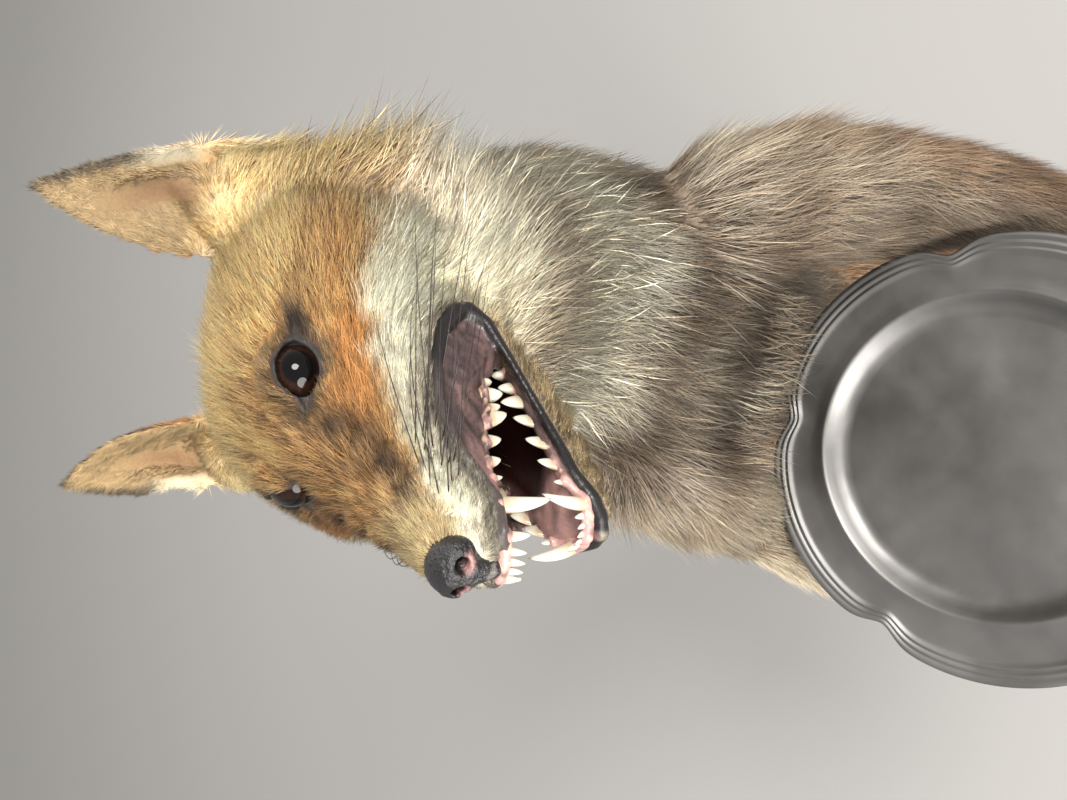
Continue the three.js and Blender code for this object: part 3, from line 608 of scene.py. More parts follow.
def shape_face(field):
    """Soft folds: the dip before the eyes, the cheek bone, the snarl's folds and the whisker pad."""
    def folds(q, d):
        x, y, z = split(q)
        snarl = 0.9 * np.sin((x * 0.85 - z * 0.55) * 0.55) * hump(y, 14, 8)
        snarl = snarl * ramp(x, 14, 30) * ramp(-x, -66, -50)
        pad = 1.3 * blob((x, 58, 14), (z, -36, 8)) * ramp(y, 4, 12)
        bone = 2.0 * blob((x, -4, 20), (z, -20, 9)) * ramp(y, 24, 34)
        groove = 1.2 * hump(y, 0, 5) * ramp(z, -8, 6) * ramp(-x, -16, 10)
        dip = 3.6 * blob((x, 17, 10), (y, 14, 6), (z, 1, 9))
        d = d - (snarl + pad + bone - groove - dip).astype(np.float32)
        half = np.interp(x, MUZZLE_AT, [26, 17.0, 13.4, 10.4, 8.8])
        tall = np.interp(x, MUZZLE_AT, [30, 19.0, 16.2, 13.8, 12.0])
        front = (np.sqrt((y / half) ** 2 + ((z + 32.5) / tall) ** 2) - 1) * half * 0.9
        front = np.where(x > 52, np.maximum(front, x - 77.5), -20)
        return np.where(z > -52, smooth_max(d, front, 2.5), d).astype(np.float32)
    field.change((-60, -60, -100), (80, 60, 40), folds)


def vertex_normals(points, faces):
    """Normals at the points, each face counting by its area."""
    a, b, c = points[faces[:, 0]], points[faces[:, 1]], points[faces[:, 2]]
    flat = np.cross(b - a, c - a)
    out = np.zeros_like(points)
    for axis in range(3):
        out[:, axis] = sum(np.bincount(faces[:, k], flat[:, axis], len(points)) for k in range(3))
    return unit(out)


def make_object(name, points, faces, material, colours=None, uv=None):
    """A mesh object that rides on the root, from points in mm and faces of one size."""
    mesh = bpy.data.meshes.new(name)
    faces = np.asarray(faces)
    mesh.vertices.add(len(points))
    mesh.vertices.foreach_set("co", (np.asarray(points) * MM).astype(np.float32).ravel())
    mesh.loops.add(faces.size)
    mesh.loops.foreach_set("vertex_index", faces.astype(np.int32).ravel())
    mesh.polygons.add(len(faces))
    mesh.polygons.foreach_set("loop_start", np.arange(0, faces.size, faces.shape[1], dtype=np.int32))
    mesh.update(calc_edges=True)
    mesh.polygons.foreach_set("use_smooth", np.ones(len(faces), bool))
    if colours is not None:
        layer = mesh.color_attributes.new("Coat", "FLOAT_COLOR", "POINT")
        layer.data.foreach_set("color", np.c_[colours, np.ones(len(points))].astype(np.float32).ravel())
    if uv is not None:
        layer = mesh.uv_layers.new(name="OFBake")
        layer.data.foreach_set("uv", uv.astype(np.float32).ravel())
    mesh.validate()
    mesh.materials.append(material)
    obj = bpy.data.objects.new(name, mesh)
    bpy.context.scene.collection.objects.link(obj)
    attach(obj, "root")
    return obj


# ---------------- camera, lights and floor
CAMERA_TILT = 48.2
CAMERA_TURN = 16
CAMERA_AT = (0.0471, -0.3292, 0.9687)
SENSOR = 36
FOCAL_PIXELS = 900
FRAME_PIXELS = 1067


def add_camera():
    """A camera that looks down at the fox's face, turned on its side as the frame is."""
    tilt, turn = math.radians(CAMERA_TILT), math.radians(CAMERA_TURN)
    right = Vector((math.cos(turn), math.sin(turn), 0))
    level = Vector((-math.sin(turn), math.cos(turn), 0))
    sink = Vector((0, 0, -1))
    ahead = sink * math.sin(tilt) + level * math.cos(tilt)
    down = sink * math.cos(tilt) - level * math.sin(tilt)
    data = bpy.data.cameras.new("camera")
    data.sensor_width = SENSOR
    data.lens = SENSOR * FOCAL_PIXELS / FRAME_PIXELS
    data.clip_start = 0.01
    data.clip_end = 30
    obj = bpy.data.objects.new("camera", data)
    turned = Matrix((down, right, -ahead)).transposed().to_4x4()
    turned.translation = Vector(CAMERA_AT)
    obj.matrix_world = turned
    bpy.context.scene.collection.objects.link(obj)
    bpy.context.scene.camera = obj


def area_light(name, place, target, size, watts, colour):
    """A round lamp that shines from a place at a target."""
    data = bpy.data.lights.new(name, "AREA")
    data.shape = "DISK"
    data.size = size
    data.energy = watts
    data.color = colour
    obj = bpy.data.objects.new(name, data)
    obj.location = place
    obj.rotation_euler = (Vector(target) - Vector(place)).to_track_quat("-Z", "Y").to_euler()
    bpy.context.scene.collection.objects.link(obj)


def add_lights():
    """A pale studio with a key, a fill and a weak light from behind."""
    bpy.context.scene.view_settings.view_transform = "Standard"
    world = bpy.data.worlds.new("studio")
    world.use_nodes = True
    world.node_tree.nodes["Background"].inputs[0].default_value = (0.97, 0.95, 0.93, 1)
    world.node_tree.nodes["Background"].inputs[1].default_value = 0.8
    bpy.context.scene.world = world
    area_light("key", (1.15, -1.05, 2.05), (0, -0.1, 0.7), 0.9, 66, (1.0, 0.97, 0.93))
    area_light("fill", (-0.8, -2.1, 1.1), (0, -0.1, 0.6), 1.5, 92, (1.0, 0.97, 0.94))
    area_light("back", (0.6, 1.5, 1.8), (0, 0, 0.6), 1.0, 16, (1.0, 0.98, 0.95))


# ---------------- colours and markings
def srgb(r, g, b):
    """A colour given as 0 to 255 screen values, as linear light."""
    c = np.array([r, g, b]) / 255.0
    return np.where(c <= 0.04045, c / 12.92, ((c + 0.055) / 1.055) ** 2.4)


TAN = srgb(220, 166, 98)
TAN_TIP = srgb(255, 220, 158)
TAN_ROOT = srgb(118, 82, 50)
RUST = srgb(182, 110, 46)
CREAM = srgb(255, 246, 216)
STRAW = srgb(240, 204, 146)
SMOKE = srgb(62, 50, 42)
LIP_GREY = srgb(72, 66, 60)
GRIZZLE = srgb(226, 204, 174)
GRIZZLE_TIP = srgb(255, 242, 218)
TAUPE = srgb(118, 98, 78)
UMBER = srgb(104, 78, 58)
GINGER = srgb(182, 128, 78)
DARK_SOCK = srgb(46, 36, 31)
BLACK_SKIN = srgb(22, 19, 20)
MAUVE = srgb(72, 57, 56)
GUM_PINK = srgb(176, 136, 130)
THROAT_RED = srgb(34, 14, 12)
UNDER_JAW = srgb(150, 126, 92)
# Painted shade for the hollow of the ears' cups.
CUP_SHADE = srgb(122, 86, 58)
LIP_RIM = srgb(66, 58, 56)
LID_BLACK = srgb(26, 23, 23)
LID_CORNER = srgb(64, 57, 52)
LID_EDGE = srgb(120, 112, 106)
WHITE_EDGE = np.array([[80, -31], [66, -28], [49, -26], [27, -24], [12, -21], [-6, -20], [-29, -28],
                       [-55, -40], [-90, -52]])
SMUDGE = np.array([[10, 15, -1], [19, 15, -7], [27, 15, -12], [36, 15, -16], [46, 14, -19],
                   [54, 12, -20]])
STREAK = np.array([[-11, 34, -2], [-18, 36, -4], [-26, 42, -9], [-34, 49, -14], [-48, 56, -20]])


def stroke(q, line, core, soft):
    """A soft mark along a line, whole within core mm of it."""
    return np.exp(-(np.maximum(along(q, line)[0] - core, 0) / soft) ** 2)


def head_marks(q):
    """Root, middle and tip colours of the head's coat at points in the head's frame."""
    x, y, z = split(q)
    fold = folded(q)
    wobble = noise(q, 14, 3)
    patch = noise(q, 34, 4)
    warm = np.clip(0.4 + 0.35 * patch + 0.3 * wobble, 0, 1)
    crown = ramp(-x, 2, 36) * ramp(z, -14, 6)
    temple = ramp(-x, 20, 92) * ramp(z, -62, -30)
    bridge = ramp(x, -8, 10) * ramp(52 - x, 0, 16) * ramp(z, -26, -12)
    brow = ramp(x, -30, -14) * ramp(16 - x, 0, 14) * ramp(z, 4, 12)
    rust = np.clip(blob((x, 12, 20), (z, -16, 8)) * ramp(y, 12, 18) * (1.4 + 0.3 * wobble), 0, 1)
    below = hump(z + 14 + 0.28 * (-x - 10), 0, 7) * ramp(-x, 0, 20) * ramp(x, -58, -34) * ramp(y, 30, 40)
    edge = by_x(WHITE_EDGE, x)
    behind = ramp(-x, 20, 75)
    white = ramp((edge + 1.6 * wobble - z) / (3 + 14 * ramp(-x, 20, 80)), -1, 1)
    smudge = stroke(fold, SMUDGE, 1.8, 3.8) * (0.9 + 0.1 * wobble)
    streak = stroke(fold, STREAK, 1.6, 4.4)
    p, u, g = lid_frame(fold, 1)
    socket = opening(p, u) + 3 * ramp(-g, -4, 2)
    lip_up = along(fold, UPPER_LIP)[0]
    lip_low = along(fold, LOWER_LIP)[0]
    fringe = np.maximum((1 - ramp(lip_up, 4.0, 10.0)) * ramp(x, -8, 30), 1 - ramp(lip_low, 1.5, 4.5))
    around = (1 - ramp(lip_up, 3, 9)) * ramp(-x, -16, 0)
    dark = np.clip(smudge + streak + fringe + around, 0, 1)
    under = ramp(by_x(LOWER_LIP, x, 2) - z, -1, 5) * ramp(x, -30, 0)
    # beneath: the brown-grey hair under the jaw, darkened further by painted shade from the jaw; it also
    # dulls the pale tips there.
    beneath = ramp(-z, 84, 98) * ramp(x, -112, -74) * (1 - 0.8 * ramp(-z, 112, 128))
    nape = ramp(-x, 78, 104) * ramp(z, -60, -20)
    middle = paint(
        mix(TAN, RUST, warm * (0.35 + 0.65 * ramp(x, -45, -5))),
        (STRAW, np.clip(crown * (0.4 + 0.35 * wobble), 0, 1)),
        (RUST * 0.7, ramp(patch, 0.2, 1.1) * 0.35),
        (mix(STRAW, CREAM, 0.25 + 0.25 * wobble), temple * 0.9),
        (RUST * 0.5, np.clip(bridge * (0.6 + 0.35 * wobble), 0, 1)),
        (RUST * 0.55, np.clip(brow * (0.45 + 0.4 * patch), 0, 1)),
        (mix(STRAW, CREAM, 0.25), ramp(x, 44, 62) * 0.9),
        (mix(RUST, TAN, 0.3), rust),
        (RUST * 0.9, below * 0.7),
        (mix(CREAM, GRIZZLE, behind), white),
        (SMOKE * 1.1, np.clip(smudge * 0.95, 0, 1)),
        (SMOKE * 0.8, np.clip(streak * 1.2, 0, 1)),
        (SMOKE, (1 - ramp(socket, 2.5, 5.5 + wobble)) * ramp(g, -2, 3) * 0.9),
        (LIP_GREY, fringe * 0.85),
        (SMOKE, around * 0.85),
        (UNDER_JAW, under * 0.9),
        # painted shade under the jaw, over its brown-grey hair
        (TAUPE * 0.7, beneath * 0.8),
        (GINGER, nape * 0.3))
    white = white * (1 - 0.85 * under)
    ruddy = 1 - white
    # Painted light on the crown: on top of its straw colour, its hair is brightened, with paler tips and
    # lighter roots, for the light that falls on the top of the head.
    middle = middle * (1 + 0.45 * (crown * ruddy * (1 - dark))[..., None])
    light = (0.42 + 0.3 * white + 0.35 * crown * ruddy) * (1 - dark)
    light = light * (1 - 0.75 * rust * ruddy) * (1 - 0.6 * beneath)
    tip = mix(middle, mix(TAN_TIP, GRIZZLE_TIP, white), light)
    shaded = middle * (0.5 + np.maximum(0.42 * white, 0.35 * crown)[..., None])
    return mix(shaded, TAN_ROOT, 0.4 * ruddy * (1 - dark)), middle, tip


def body_marks(p):
    """Root, middle and tip colours of the body's coat at points in world mm."""
    shares = body_parts(p)[0]
    x, y, z = np.moveaxis(p, -1, 0)
    wobble = noise(p, 60, 5)
    fine = noise(p, 24, 6)
    front = ramp(-y, -20, 60)
    ahead = ramp(-y, 20, 60)
    chest = mix(GRIZZLE * 0.46, mix(GRIZZLE, CREAM, 0.8), ramp(z, 590, 640))
    back = mix(GINGER, TAUPE, 0.15 + 0.15 * wobble)
    flank = ramp(np.abs(x), 62, 95) * ramp(620 - z, 0, 60) * ramp(y, -80, -20)
    wave = z - 0.10 * x + 9 * wobble + 4 * fine
    first = hump(wave, 612, 15) * ahead
    second = hump(wave, 552, 18) * ahead * ramp(112 - x, 0, 50)
    # throat: a taupe band under the jaw, partly the hair's own brown-grey and partly painted shade from the
    # jaw; it also takes the frost off the tips.
    throat = hump(wave, 708, 20) * ramp(-y, 30, 80) * ramp(80 - np.abs(x), 0, 40)
    bands = np.clip(first * 1.1 + second * 1.2, 0, 1)
    pale = hump(wave, 646, 16) + 0.8 * hump(wave, 584, 9) * ramp(fine, -0.4, 0.7)
    pale = np.clip(pale + 0.9 * blob((x, -16, 15), (z, 540, 20)), 0, 1) * ramp(-y, 10, 60)
    arm = np.clip(shares[1] + shares[2], 0, 1)
    leg = np.clip(shares[3] + shares[4], 0, 1)
    tail = shares[5]
    upper_arm = arm * ramp(600 - z, 0, 60)
    frosted = mix(TAUPE, GRIZZLE, np.clip(0.38 + 0.3 * fine + 0.5 * ramp(-x, 20, 60), 0, 1))
    # deep: painted shade on the lower chest; it darkens the hair there and takes the frost off its tips.
    deep = ramp(612 - z, 0, 40) * front * (1 - arm)
    # Painted shade on the forelegs: a little on both and more towards the bottom of the near one; it
    # darkens the hair and takes the frost off its tips.
    arm_shade = arm * (0.15 + 0.5 * ramp(550 - z, 0, 80) * ramp(x, 0, 60)) * ramp(600 - z, 0, 60)
    paw = arm * ramp(456 - z, 0, 22)
    sock = leg * ramp(150 + 20 * fine - z, 0, 50)
    tail_tip = ramp(along(p, TAIL)[1], 0.84, 0.92)
    middle = paint(
        mix(back, chest, front),
        (GINGER * 0.95, flank * (0.55 + 0.25 * wobble)),
        (UMBER * 0.5, bands),
        (TAUPE * 0.8, throat * 0.8),
        (GRIZZLE_TIP * 0.95, pale * 0.65),
        (TAUPE, ramp(520 - z, 0, 60) * front * 0.75),
        (GRIZZLE * 0.9, ramp(460 - z, 0, 60) * front * 0.7),
        (mix(frosted, GINGER, ramp(x, 100, 124) * 0.6), upper_arm))
    # The hair is darkened by painted shade on the lower chest and the forelegs.
    middle = paint(
        middle * (1 - 0.55 * deep - arm_shade)[..., None],
        (DARK_SOCK, paw),
        (GINGER, leg * 0.7),
        (DARK_SOCK, sock),
        (mix(mix(GINGER, UMBER, 0.35 + 0.3 * wobble), CREAM, tail_tip), tail))
    frost = 0.4 * (1 - np.clip(paw + sock, 0, 1)) * (0.55 + 0.45 * front) * (1 - 0.6 * tail)
    frost = frost * (1 - 0.8 * bands) * (1 - 0.6 * throat)
    frost = frost * (1 - 0.6 * deep) * (1 - 1.2 * arm_shade)
    return mix(middle * 0.55, UMBER * 0.7, 0.4), middle, mix(middle * 1.05, GRIZZLE_TIP, frost)


def ear_parts(q):
    """How much a point belongs to an ear, and its height there: 0 at the foot, 1 at the tip."""
    rise = EAR_TIP - EAR_FOOT
    up = ((folded(q) - EAR_FOOT) @ rise) / (rise @ rise)
    share = ramp(up, 0.08, 0.24) * ramp(-q[..., 0], 45, 56)
    return share, up


def ear_flap(q):
    """How far a point of an ear lies inside the ear's outer edge."""
    share, up = ear_parts(q)
    flap = np.zeros(len(q))
    levels = np.linspace(0.28, 0.88, 13)
    for side in (1, -1):
        mine = q[:, 1] * side > 0
        y = q[mine, 1] * side
        on = share[mine] > 0.3
        edge = [np.quantile(y[on & (np.abs(up[mine] - level) < 0.06)], 0.99) for level in levels]
        flap[mine] = np.interp(up[mine], levels, edge) - y
    return flap


def cup_facing(q, n):
    """1 on the ear's inner face, 0 behind it."""
    return ramp(n[..., 0] * 0.9 + n[..., 1] * np.sign(q[..., 1]) * 0.35, 0.0, 0.35)


def ear_folds(q, n):
    """The ridge up the outer third of the cup and the fold at its foot, as heights."""
    share, up = ear_parts(q)
    flap = ear_flap(q)
    within = share * cup_facing(q, n)
    ridge = 1.7 * hump(flap, 10, 2.2) * ramp(0.75 - up, 0, 0.3)
    hollow = 1.5 * hump(flap, 16, 4.5) * ramp(0.8 - up, 0, 0.3)
    hollow = hollow + 1.2 * hump(flap, 5, 2.4) * ramp(0.5 - up, 0, 0.2)
    foot = 1.6 * blob((flap, 16, 5), (up, 0.16, 0.05))
    return within * (ridge - hollow + foot)


def ear_marks(q, n):
    """Colours of the ears: cream within, with painted shade in the hollow of the cup, black-brown behind
    near the tip, and painted light on the far ear's inner face.
    """
    up = ear_parts(q)[1]
    flap = ear_flap(q)
    inner = cup_facing(q, n)
    cup = paint(
        STRAW * 0.46,
        # painted shade in the hollow of the cup
        (CUP_SHADE, blob((flap, 16, 6), (up, 0.35, 0.3)) * 0.8),
        (CREAM * 0.62, (1 - ramp(flap, 2, 9)) * ramp(0.62 - up, 0, 0.2) * 0.8))
    behind = mix(GINGER, SMOKE, ramp(up, 0.3, 0.62))
    rim = np.maximum(ramp(up, 0.9, 1.0), (1 - ramp(flap, 2.5, 6.0)) * ramp(up, 0.4, 0.52))
    middle = paint(behind, (cup, inner), (SMOKE * 0.8, rim * 0.9))
    # Painted light: the far ear's inner face is made brighter than the near one's.
    middle = middle * (1 + 0.35 * inner * (q[..., 1] < 0))[..., None] * 0.8
    return middle * 0.9, middle, mix(middle, CREAM, 0.12 * inner)


def mouth_lining(q):
    """Colour of the skin within the mouth: mauve, pink at the front, red-black in the throat."""
    x, y, z = split(q)
    spots = noise(q, 9, 8)
    lining = mix(MAUVE, GUM_PINK, np.clip(ramp(x, 34, 62) + 0.2 * spots, 0, 1) * 0.8)
    # Painted shade: the lining is darker along its creases, except at the front of the mouth.
    crease = ramp(np.sin(z * 1.5 + x * 0.45 + 1.6 * noise(q, 12, 14)), 0.2, 0.9)
    deep = ramp(by_x(ARCH, x) - y, 1, 4)
    return paint(
        lining * (0.85 - 0.4 * crease * (1 - ramp(x, 40, 60)))[..., None],
        (THROAT_RED, deep * ramp(58 - x, 0, 30)),
        (mix(GUM_PINK, MAUVE, np.clip(0.3 + 0.4 * spots, 0, 1)), deep * ramp(x, 34, 52) * ramp(-z, 62, 70)))


def bare_skin(q, n):
    """Colour of the bare skin on the head: lips, mouth and lids; how bare it is, and how wet."""
    x, _, z = split(q)
    fold = folded(q)
    up_gap = along(fold, UPPER_LIP, LIP_HALF_UP)[0]
    low_gap = along(fold, LOWER_LIP, LIP_HALF_LOW)[0]
    between = np.minimum(by_x(UPPER_LIP, x, 2) - z, z - by_x(LOWER_LIP, x, 2))
    inside = np.maximum(ramp(mouth_room(q), -1.6, -0.5), ramp(between, 0.5, 1.5) * ramp(x, -8, -5))
    inside = np.maximum(inside * ramp(x, -54, -50), ramp(-mouth_filling(q), 1.6, 2.8))
    outward = ramp(-n[..., 1] * np.sign(q[..., 1]) + 1.6, 0, 0.5)
    lip = np.maximum((1 - ramp(low_gap, 0.2, 0.9)) * outward, 1 - ramp(up_gap, 0.2, 0.9))
    lip_colour = mix(BLACK_SKIN, LIP_RIM, ramp(x, 12, 30) * ramp(-up_gap, -2, 0))
    p, u, g = lid_frame(fold, 1)
    gap = opening(p, u) - FAR_WIDER * (q[..., 1] < 0)
    tear = blob((p, 12, 5), (u, -0.5, 2.6)) * ramp(g, -1, 3)
    lid = np.maximum((1 - ramp(gap, 1.0, 2.0)) * ramp(g, 1, 4), ramp(tear, 0.3, 0.6))
    rim = hump(gap, 0.1, 0.3) * ramp(g, 1, 4) * ramp(-u, -1, 3)
    lid_colour = paint(LID_BLACK, (LID_CORNER, np.clip(tear * 0.7, 0, 1)), (LID_EDGE, rim * 0.35))
    colour = paint(mouth_lining(q) * inside[..., None], (lip_colour, lip), (lid_colour, lid))
    wet = np.maximum.reduce([0.6 * lip, 0.8 * inside, 0.2 * lid])
    return colour, np.maximum.reduce([inside, lip, lid]), wet


# ---------------- the coat
def head_lie(q):
    """The way the hair lies on the head, in the head's frame."""
    x, y, z = np.moveaxis(q, -1, 0)
    side = np.tanh(y / 8)
    ones = np.ones_like(x)

    def towards(ahead, out, up):
        return np.stack([ahead * ones, side * out, up * ones], -1)

    way = paint(
        towards(-1, 0.25 + 0.5 * ramp(np.abs(y), 10, 45), 0.25 * ramp(z, -14, 6)),
        (towards(-0.9, 0.5, -0.75), ramp(-z, 8, 40) * ramp(-x, -40, 10)),
        (towards(-1, 0.3, -0.35), ramp(x, 15, 40) * ramp(-z, 16, 34)),
        (towards(-1, 0.2, -0.45), ramp(-z, 66, 84)),
        (towards(-0.35, 0.15, -1), ramp(-x, 52, 88) * ramp(z, -60, -20)))
    from_eye = folded(q) - EYE_MIDDLE
    from_eye[..., 1] *= np.where(y < 0, -1, 1)
    near = np.exp(-(np.linalg.norm(from_eye, axis=-1) / 19) ** 2)
    way = way + unit(from_eye) * near[..., None] * 1.1
    return mix(way, towards(-0.15, 0.25, 1), ear_parts(q)[0])


def body_lie(p):
    """The way the hair lies on the body, in the world's frame."""
    way = body_parts(p)[2]
    turn = noise(p, 70, 9)[..., None] * 0.16
    across = unit(np.cross(way, unit(p - np.array([0, -20, 500]))))
    return way + across * turn


PATCH = 0.003
COVER = 7.6
LOCK_THIN = 0.25
LOCK_PER_LENGTH = 0.0065
DARK_GUARDS = 0.2
PALE_GUARDS = 0.14
LONG_IN_PIECE = 19000
SHORT_IN_PIECE = 48000
TONE_OF_HAIR = 0.44
TONE_OF_CLUMP = 0.36
WARMTH_OF_HAIR = 0.05
DARK_MIDDLE = 0.45
DARK_TIP = 0.3
BIB_LENGTH = 36.0
LUMINANCE = np.array([0.21, 0.72, 0.07])


def tufts(name, roots, normals, ways, lengths, widths, lifts, colours, uv, bent, material, r):
    """A closed three-sided lock at each root: straight, or bent over with a ring at its middle."""
    count = len(roots)
    ways = ways - normals * (ways * normals).sum(1, keepdims=True)
    ways = unit(ways + 0.16 * r.normal(size=(count, 3)))
    ways = unit(ways - normals * (ways * normals).sum(1, keepdims=True))
    across = np.cross(normals, ways)
    lift = lifts[:, None]
    first = unit(ways * np.cos(lift) + normals * np.sin(lift))
    reach = lengths[:, None]
    width = widths[:, None]
    rise = np.cross(first, across)
    base = roots - normals * (0.25 + 0.02 * reach)
    ring = [base + across * width * 0.5, base - across * width * 0.5, base - rise * width * 0.55]
    if bent:
        after = unit(ways * np.cos(lift * 0.35) + normals * np.sin(lift * 0.35))
        half = base + first * reach * 0.5
        tip = half + after * reach * 0.5
        mid = [half + across * width * 0.42, half - across * width * 0.42, half - rise * width * 0.4]
        points = np.stack(ring + mid + [tip], 1)
        faces = [(0, 2, 1), (0, 1, 4), (0, 4, 3), (1, 2, 5), (1, 5, 4), (2, 0, 3), (2, 3, 5),
                 (3, 4, 6), (4, 5, 6), (5, 3, 6)]
        shade = [0, 0, 0, 1, 1, 1, 2]
        spots = np.array([[0, 0], [0.7, 0], [0.35, -0.2], [0, 0.5], [0.7, 0.5], [0.35, 0.35],
        [0.35, 1.0]])
    else:
        tip = base + first * reach
        points = np.stack(ring + [tip], 1)
        faces = [(0, 2, 1), (0, 1, 3), (1, 2, 3), (2, 0, 3)]
        shade = [0, 0, 0, 2]
        spots = np.array([[0, 0], [0.7, 0], [0.35, -0.2], [0.35, 1.0]])
    each = points.shape[1]
    faces = np.array(faces)
    a, b, c = points[0, [1, 2, -1]] - points[0, 0]
    if np.cross(a, b) @ c < 0:
        faces = faces[:, ::-1]
    all_faces = (np.arange(count)[:, None, None] * each + faces[None]).reshape(-1, 3)
    shades = np.stack([colours[k] for k in shade], 1).reshape(-1, 3)
    places = (uv[:, None, :] + spots[None] * PATCH).reshape(-1, 2)
    obj = make_object(name, points.reshape(-1, 3), all_faces, material, shades, places[all_faces.ravel()])


def scatter(points, faces, density, r):
    """Places picked on triangles, by a density in hairs per square mm at the vertices."""
    a, b, c = points[faces[:, 0]], points[faces[:, 1]], points[faces[:, 2]]
    area = 0.5 * np.linalg.norm(np.cross(b - a, c - a), axis=1)
    want = area * density[faces].mean(1)
    count = np.floor(want + r.random(len(want))).astype(int)
    pick = np.repeat(np.arange(len(faces)), count)
    s, t = r.random(len(pick)), r.random(len(pick))
    over = s + t > 1
    s[over], t[over] = 1 - s[over], 1 - t[over]
    return pick, np.stack([1 - s - t, s, t], 1)


def at_spots(values, faces, pick, parts):
    """Vertex values read at scattered spots."""
    corner = values[faces[pick]]
    parts = parts if corner.ndim == 2 else parts[..., None]
    return (corner * parts).sum(1)


def clumped(roots, ways, lengths, cell, pull, r):
    """Ways that lean each hair towards the middle of its clump."""
    warped = roots + noise(roots, cell * 5, 21)[:, None] * cell * 0.6
    key = np.floor(warped / cell + r.random(3)).astype(np.int64)
    _, group = np.unique(key[:, 0] * 4000037 + key[:, 1] * 2003 + key[:, 2], return_inverse=True)
    group = group.ravel()
    size = np.bincount(group)
    middle = np.stack([np.bincount(group, roots[:, k]) / size for k in range(3)], 1)
    lean = np.stack([np.bincount(group, ways[:, k]) / size for k in range(3)], 1)
    stray = r.normal(size=(len(size), 3)) * 0.13
    shade = r.normal(size=len(size))
    inwards = pull * (middle[group] - roots) / lengths[:, None]
    return unit(ways * 0.55 + unit(lean[group]) * 0.45 + stray[group] + inwards), shade[group]


def lock_width(length):
    """A lock's width in mm."""
    return LOCK_THIN + LOCK_PER_LENGTH * length


def grow(name, points, faces, normals, length, way, marks, spread, unwrap, material, share, seed,
         calm=None, short_limit=46.0, cell=2.6, lift=(13, 27)):
    """The coat on part of the skin, cut into pieces of a size that a bake can hold.

    share thins the coat, spread gathers the tips into clumps and calm evens out the tones.
    """
    r = np.random.default_rng(seed)
    density = COVER * share / (length * lock_width(length))
    pick, parts = scatter(points, faces, density, r)
    roots = at_spots(points, faces, pick, parts)
    up = unit(at_spots(normals, faces, pick, parts))
    lie = unit(at_spots(way, faces, pick, parts))
    reach = at_spots(length, faces, pick, parts)
    colours = [at_spots(c, faces, pick, parts) for c in marks]
    lie, shade = clumped(roots, lie, reach, cell, spread, r)
    count = len(roots)
    tone = TONE_OF_HAIR * r.normal(size=count) + TONE_OF_CLUMP * shade
    warm = 1 + WARMTH_OF_HAIR * r.normal(size=(count, 1)) * np.array([1, 0, -1])
    guard = r.random(count)
    if calm is not None:
        quiet = at_spots(calm[:, None], faces, pick, parts)[:, 0]
        guard = np.where(quiet > 0.5, 0.5, guard)
        tone = tone * (1 - 0.65 * quiet)
    brightest = np.interp(colours[1] @ LUMINANCE, [0.35, 0.75], [0.5, 0.12])
    tone = np.exp(np.minimum(tone + 0.06, brightest))[:, None]
    dark_guard = (guard < DARK_GUARDS)[:, None]
    pale_guard = (guard > 1 - PALE_GUARDS)[:, None]
    colours = [np.clip(c * tone * warm, 0.003, 0.95) for c in colours]
    colours[1] = np.where(dark_guard, colours[1] * DARK_MIDDLE, colours[1])
    tip = np.where(pale_guard, colours[2] ** 0.94, colours[2])
    colours[2] = np.where(dark_guard, colours[2] * DARK_TIP, tip)
    reach = reach * np.exp(0.18 * r.normal(size=count)).clip(0.55, 1.5)
    wide = lock_width(reach) * r.uniform(0.75, 1.25, count)
    lifts = np.radians(r.uniform(*lift, count)) * (1 - 0.3 * ramp(reach, 12, 28) * (lift[0] < 20))
    uv = unwrap(roots, up)
    for kind, bent, most in (("short", False, SHORT_IN_PIECE), ("long", True, LONG_IN_PIECE)):
        chosen = np.flatnonzero((reach >= short_limit) == bent)
        pieces = math.ceil(len(chosen) / most)
        for k in range(pieces):
            part = chosen[k::pieces]
            tufts(f"{name}_{kind}_{k + 1}", roots[part], up[part], lie[part], reach[part], wide[part],
                  lifts[part], [c[part] for c in colours], uv[part], bent, material, r)


def head_unwrap(p, n):
    """A map of the head: the way round its middle and the height, from 0 to 1."""
    x, y, z = (p - (-20, 0, -30)).T
    turn = np.arctan2(y, x) / (2 * math.pi) + 0.5
    rise = np.arctan2(z, np.hypot(x, y)) / math.pi + 0.5
    return np.stack([turn * 0.99, rise * 0.99], 1)


def limb_unwrap(p, n):
    """A map of the body: the way round the nearest part and the place along it, a strip for each part."""
    gaps = np.stack([along(p, line, half)[0] for _, line, half, _ in PARTS])
    best = gaps.argmin(0)
    out = np.zeros((len(p), 2))
    for i, (_, line, half, _) in enumerate(PARTS):
        mine = best == i
        if not mine.any():
            continue
        _, place, way = along(p[mine], line, half)
        across = unit(np.cross(way, (0.3, 0.9, 0.31)))
        above = np.cross(way, across)
        turn = np.arctan2((n[mine] * above).sum(1), (n[mine] * across).sum(1)) / (2 * math.pi) + 0.5
        out[mine] = np.stack([(i + 0.97 * turn) / len(PARTS), 0.99 * place], 1)
    return out


# ---------------- materials
def new_material(name):
    """A material, its nodes and its shader."""
    material = bpy.data.materials.new(name)
    material.use_nodes = True
    return material, material.node_tree, material.node_tree.nodes["Principled BSDF"]


def set_inputs(tree, made, **values):
    """Gives a node's inputs their values, or links them where the value is another node's output."""
    for key, value in values.items():
        into = made.inputs[key.replace("_", " ")]
        if isinstance(value, bpy.types.NodeSocket):
            tree.links.new(value, into)
        else:
            into.default_value = value


def node(tree, kind, settings=(), **values):
    """A new node with its settings and inputs."""
    made = tree.nodes.new("ShaderNode" + kind)
    for key, value in settings:
        setattr(made, key, value)
    set_inputs(tree, made, **values)
    return made


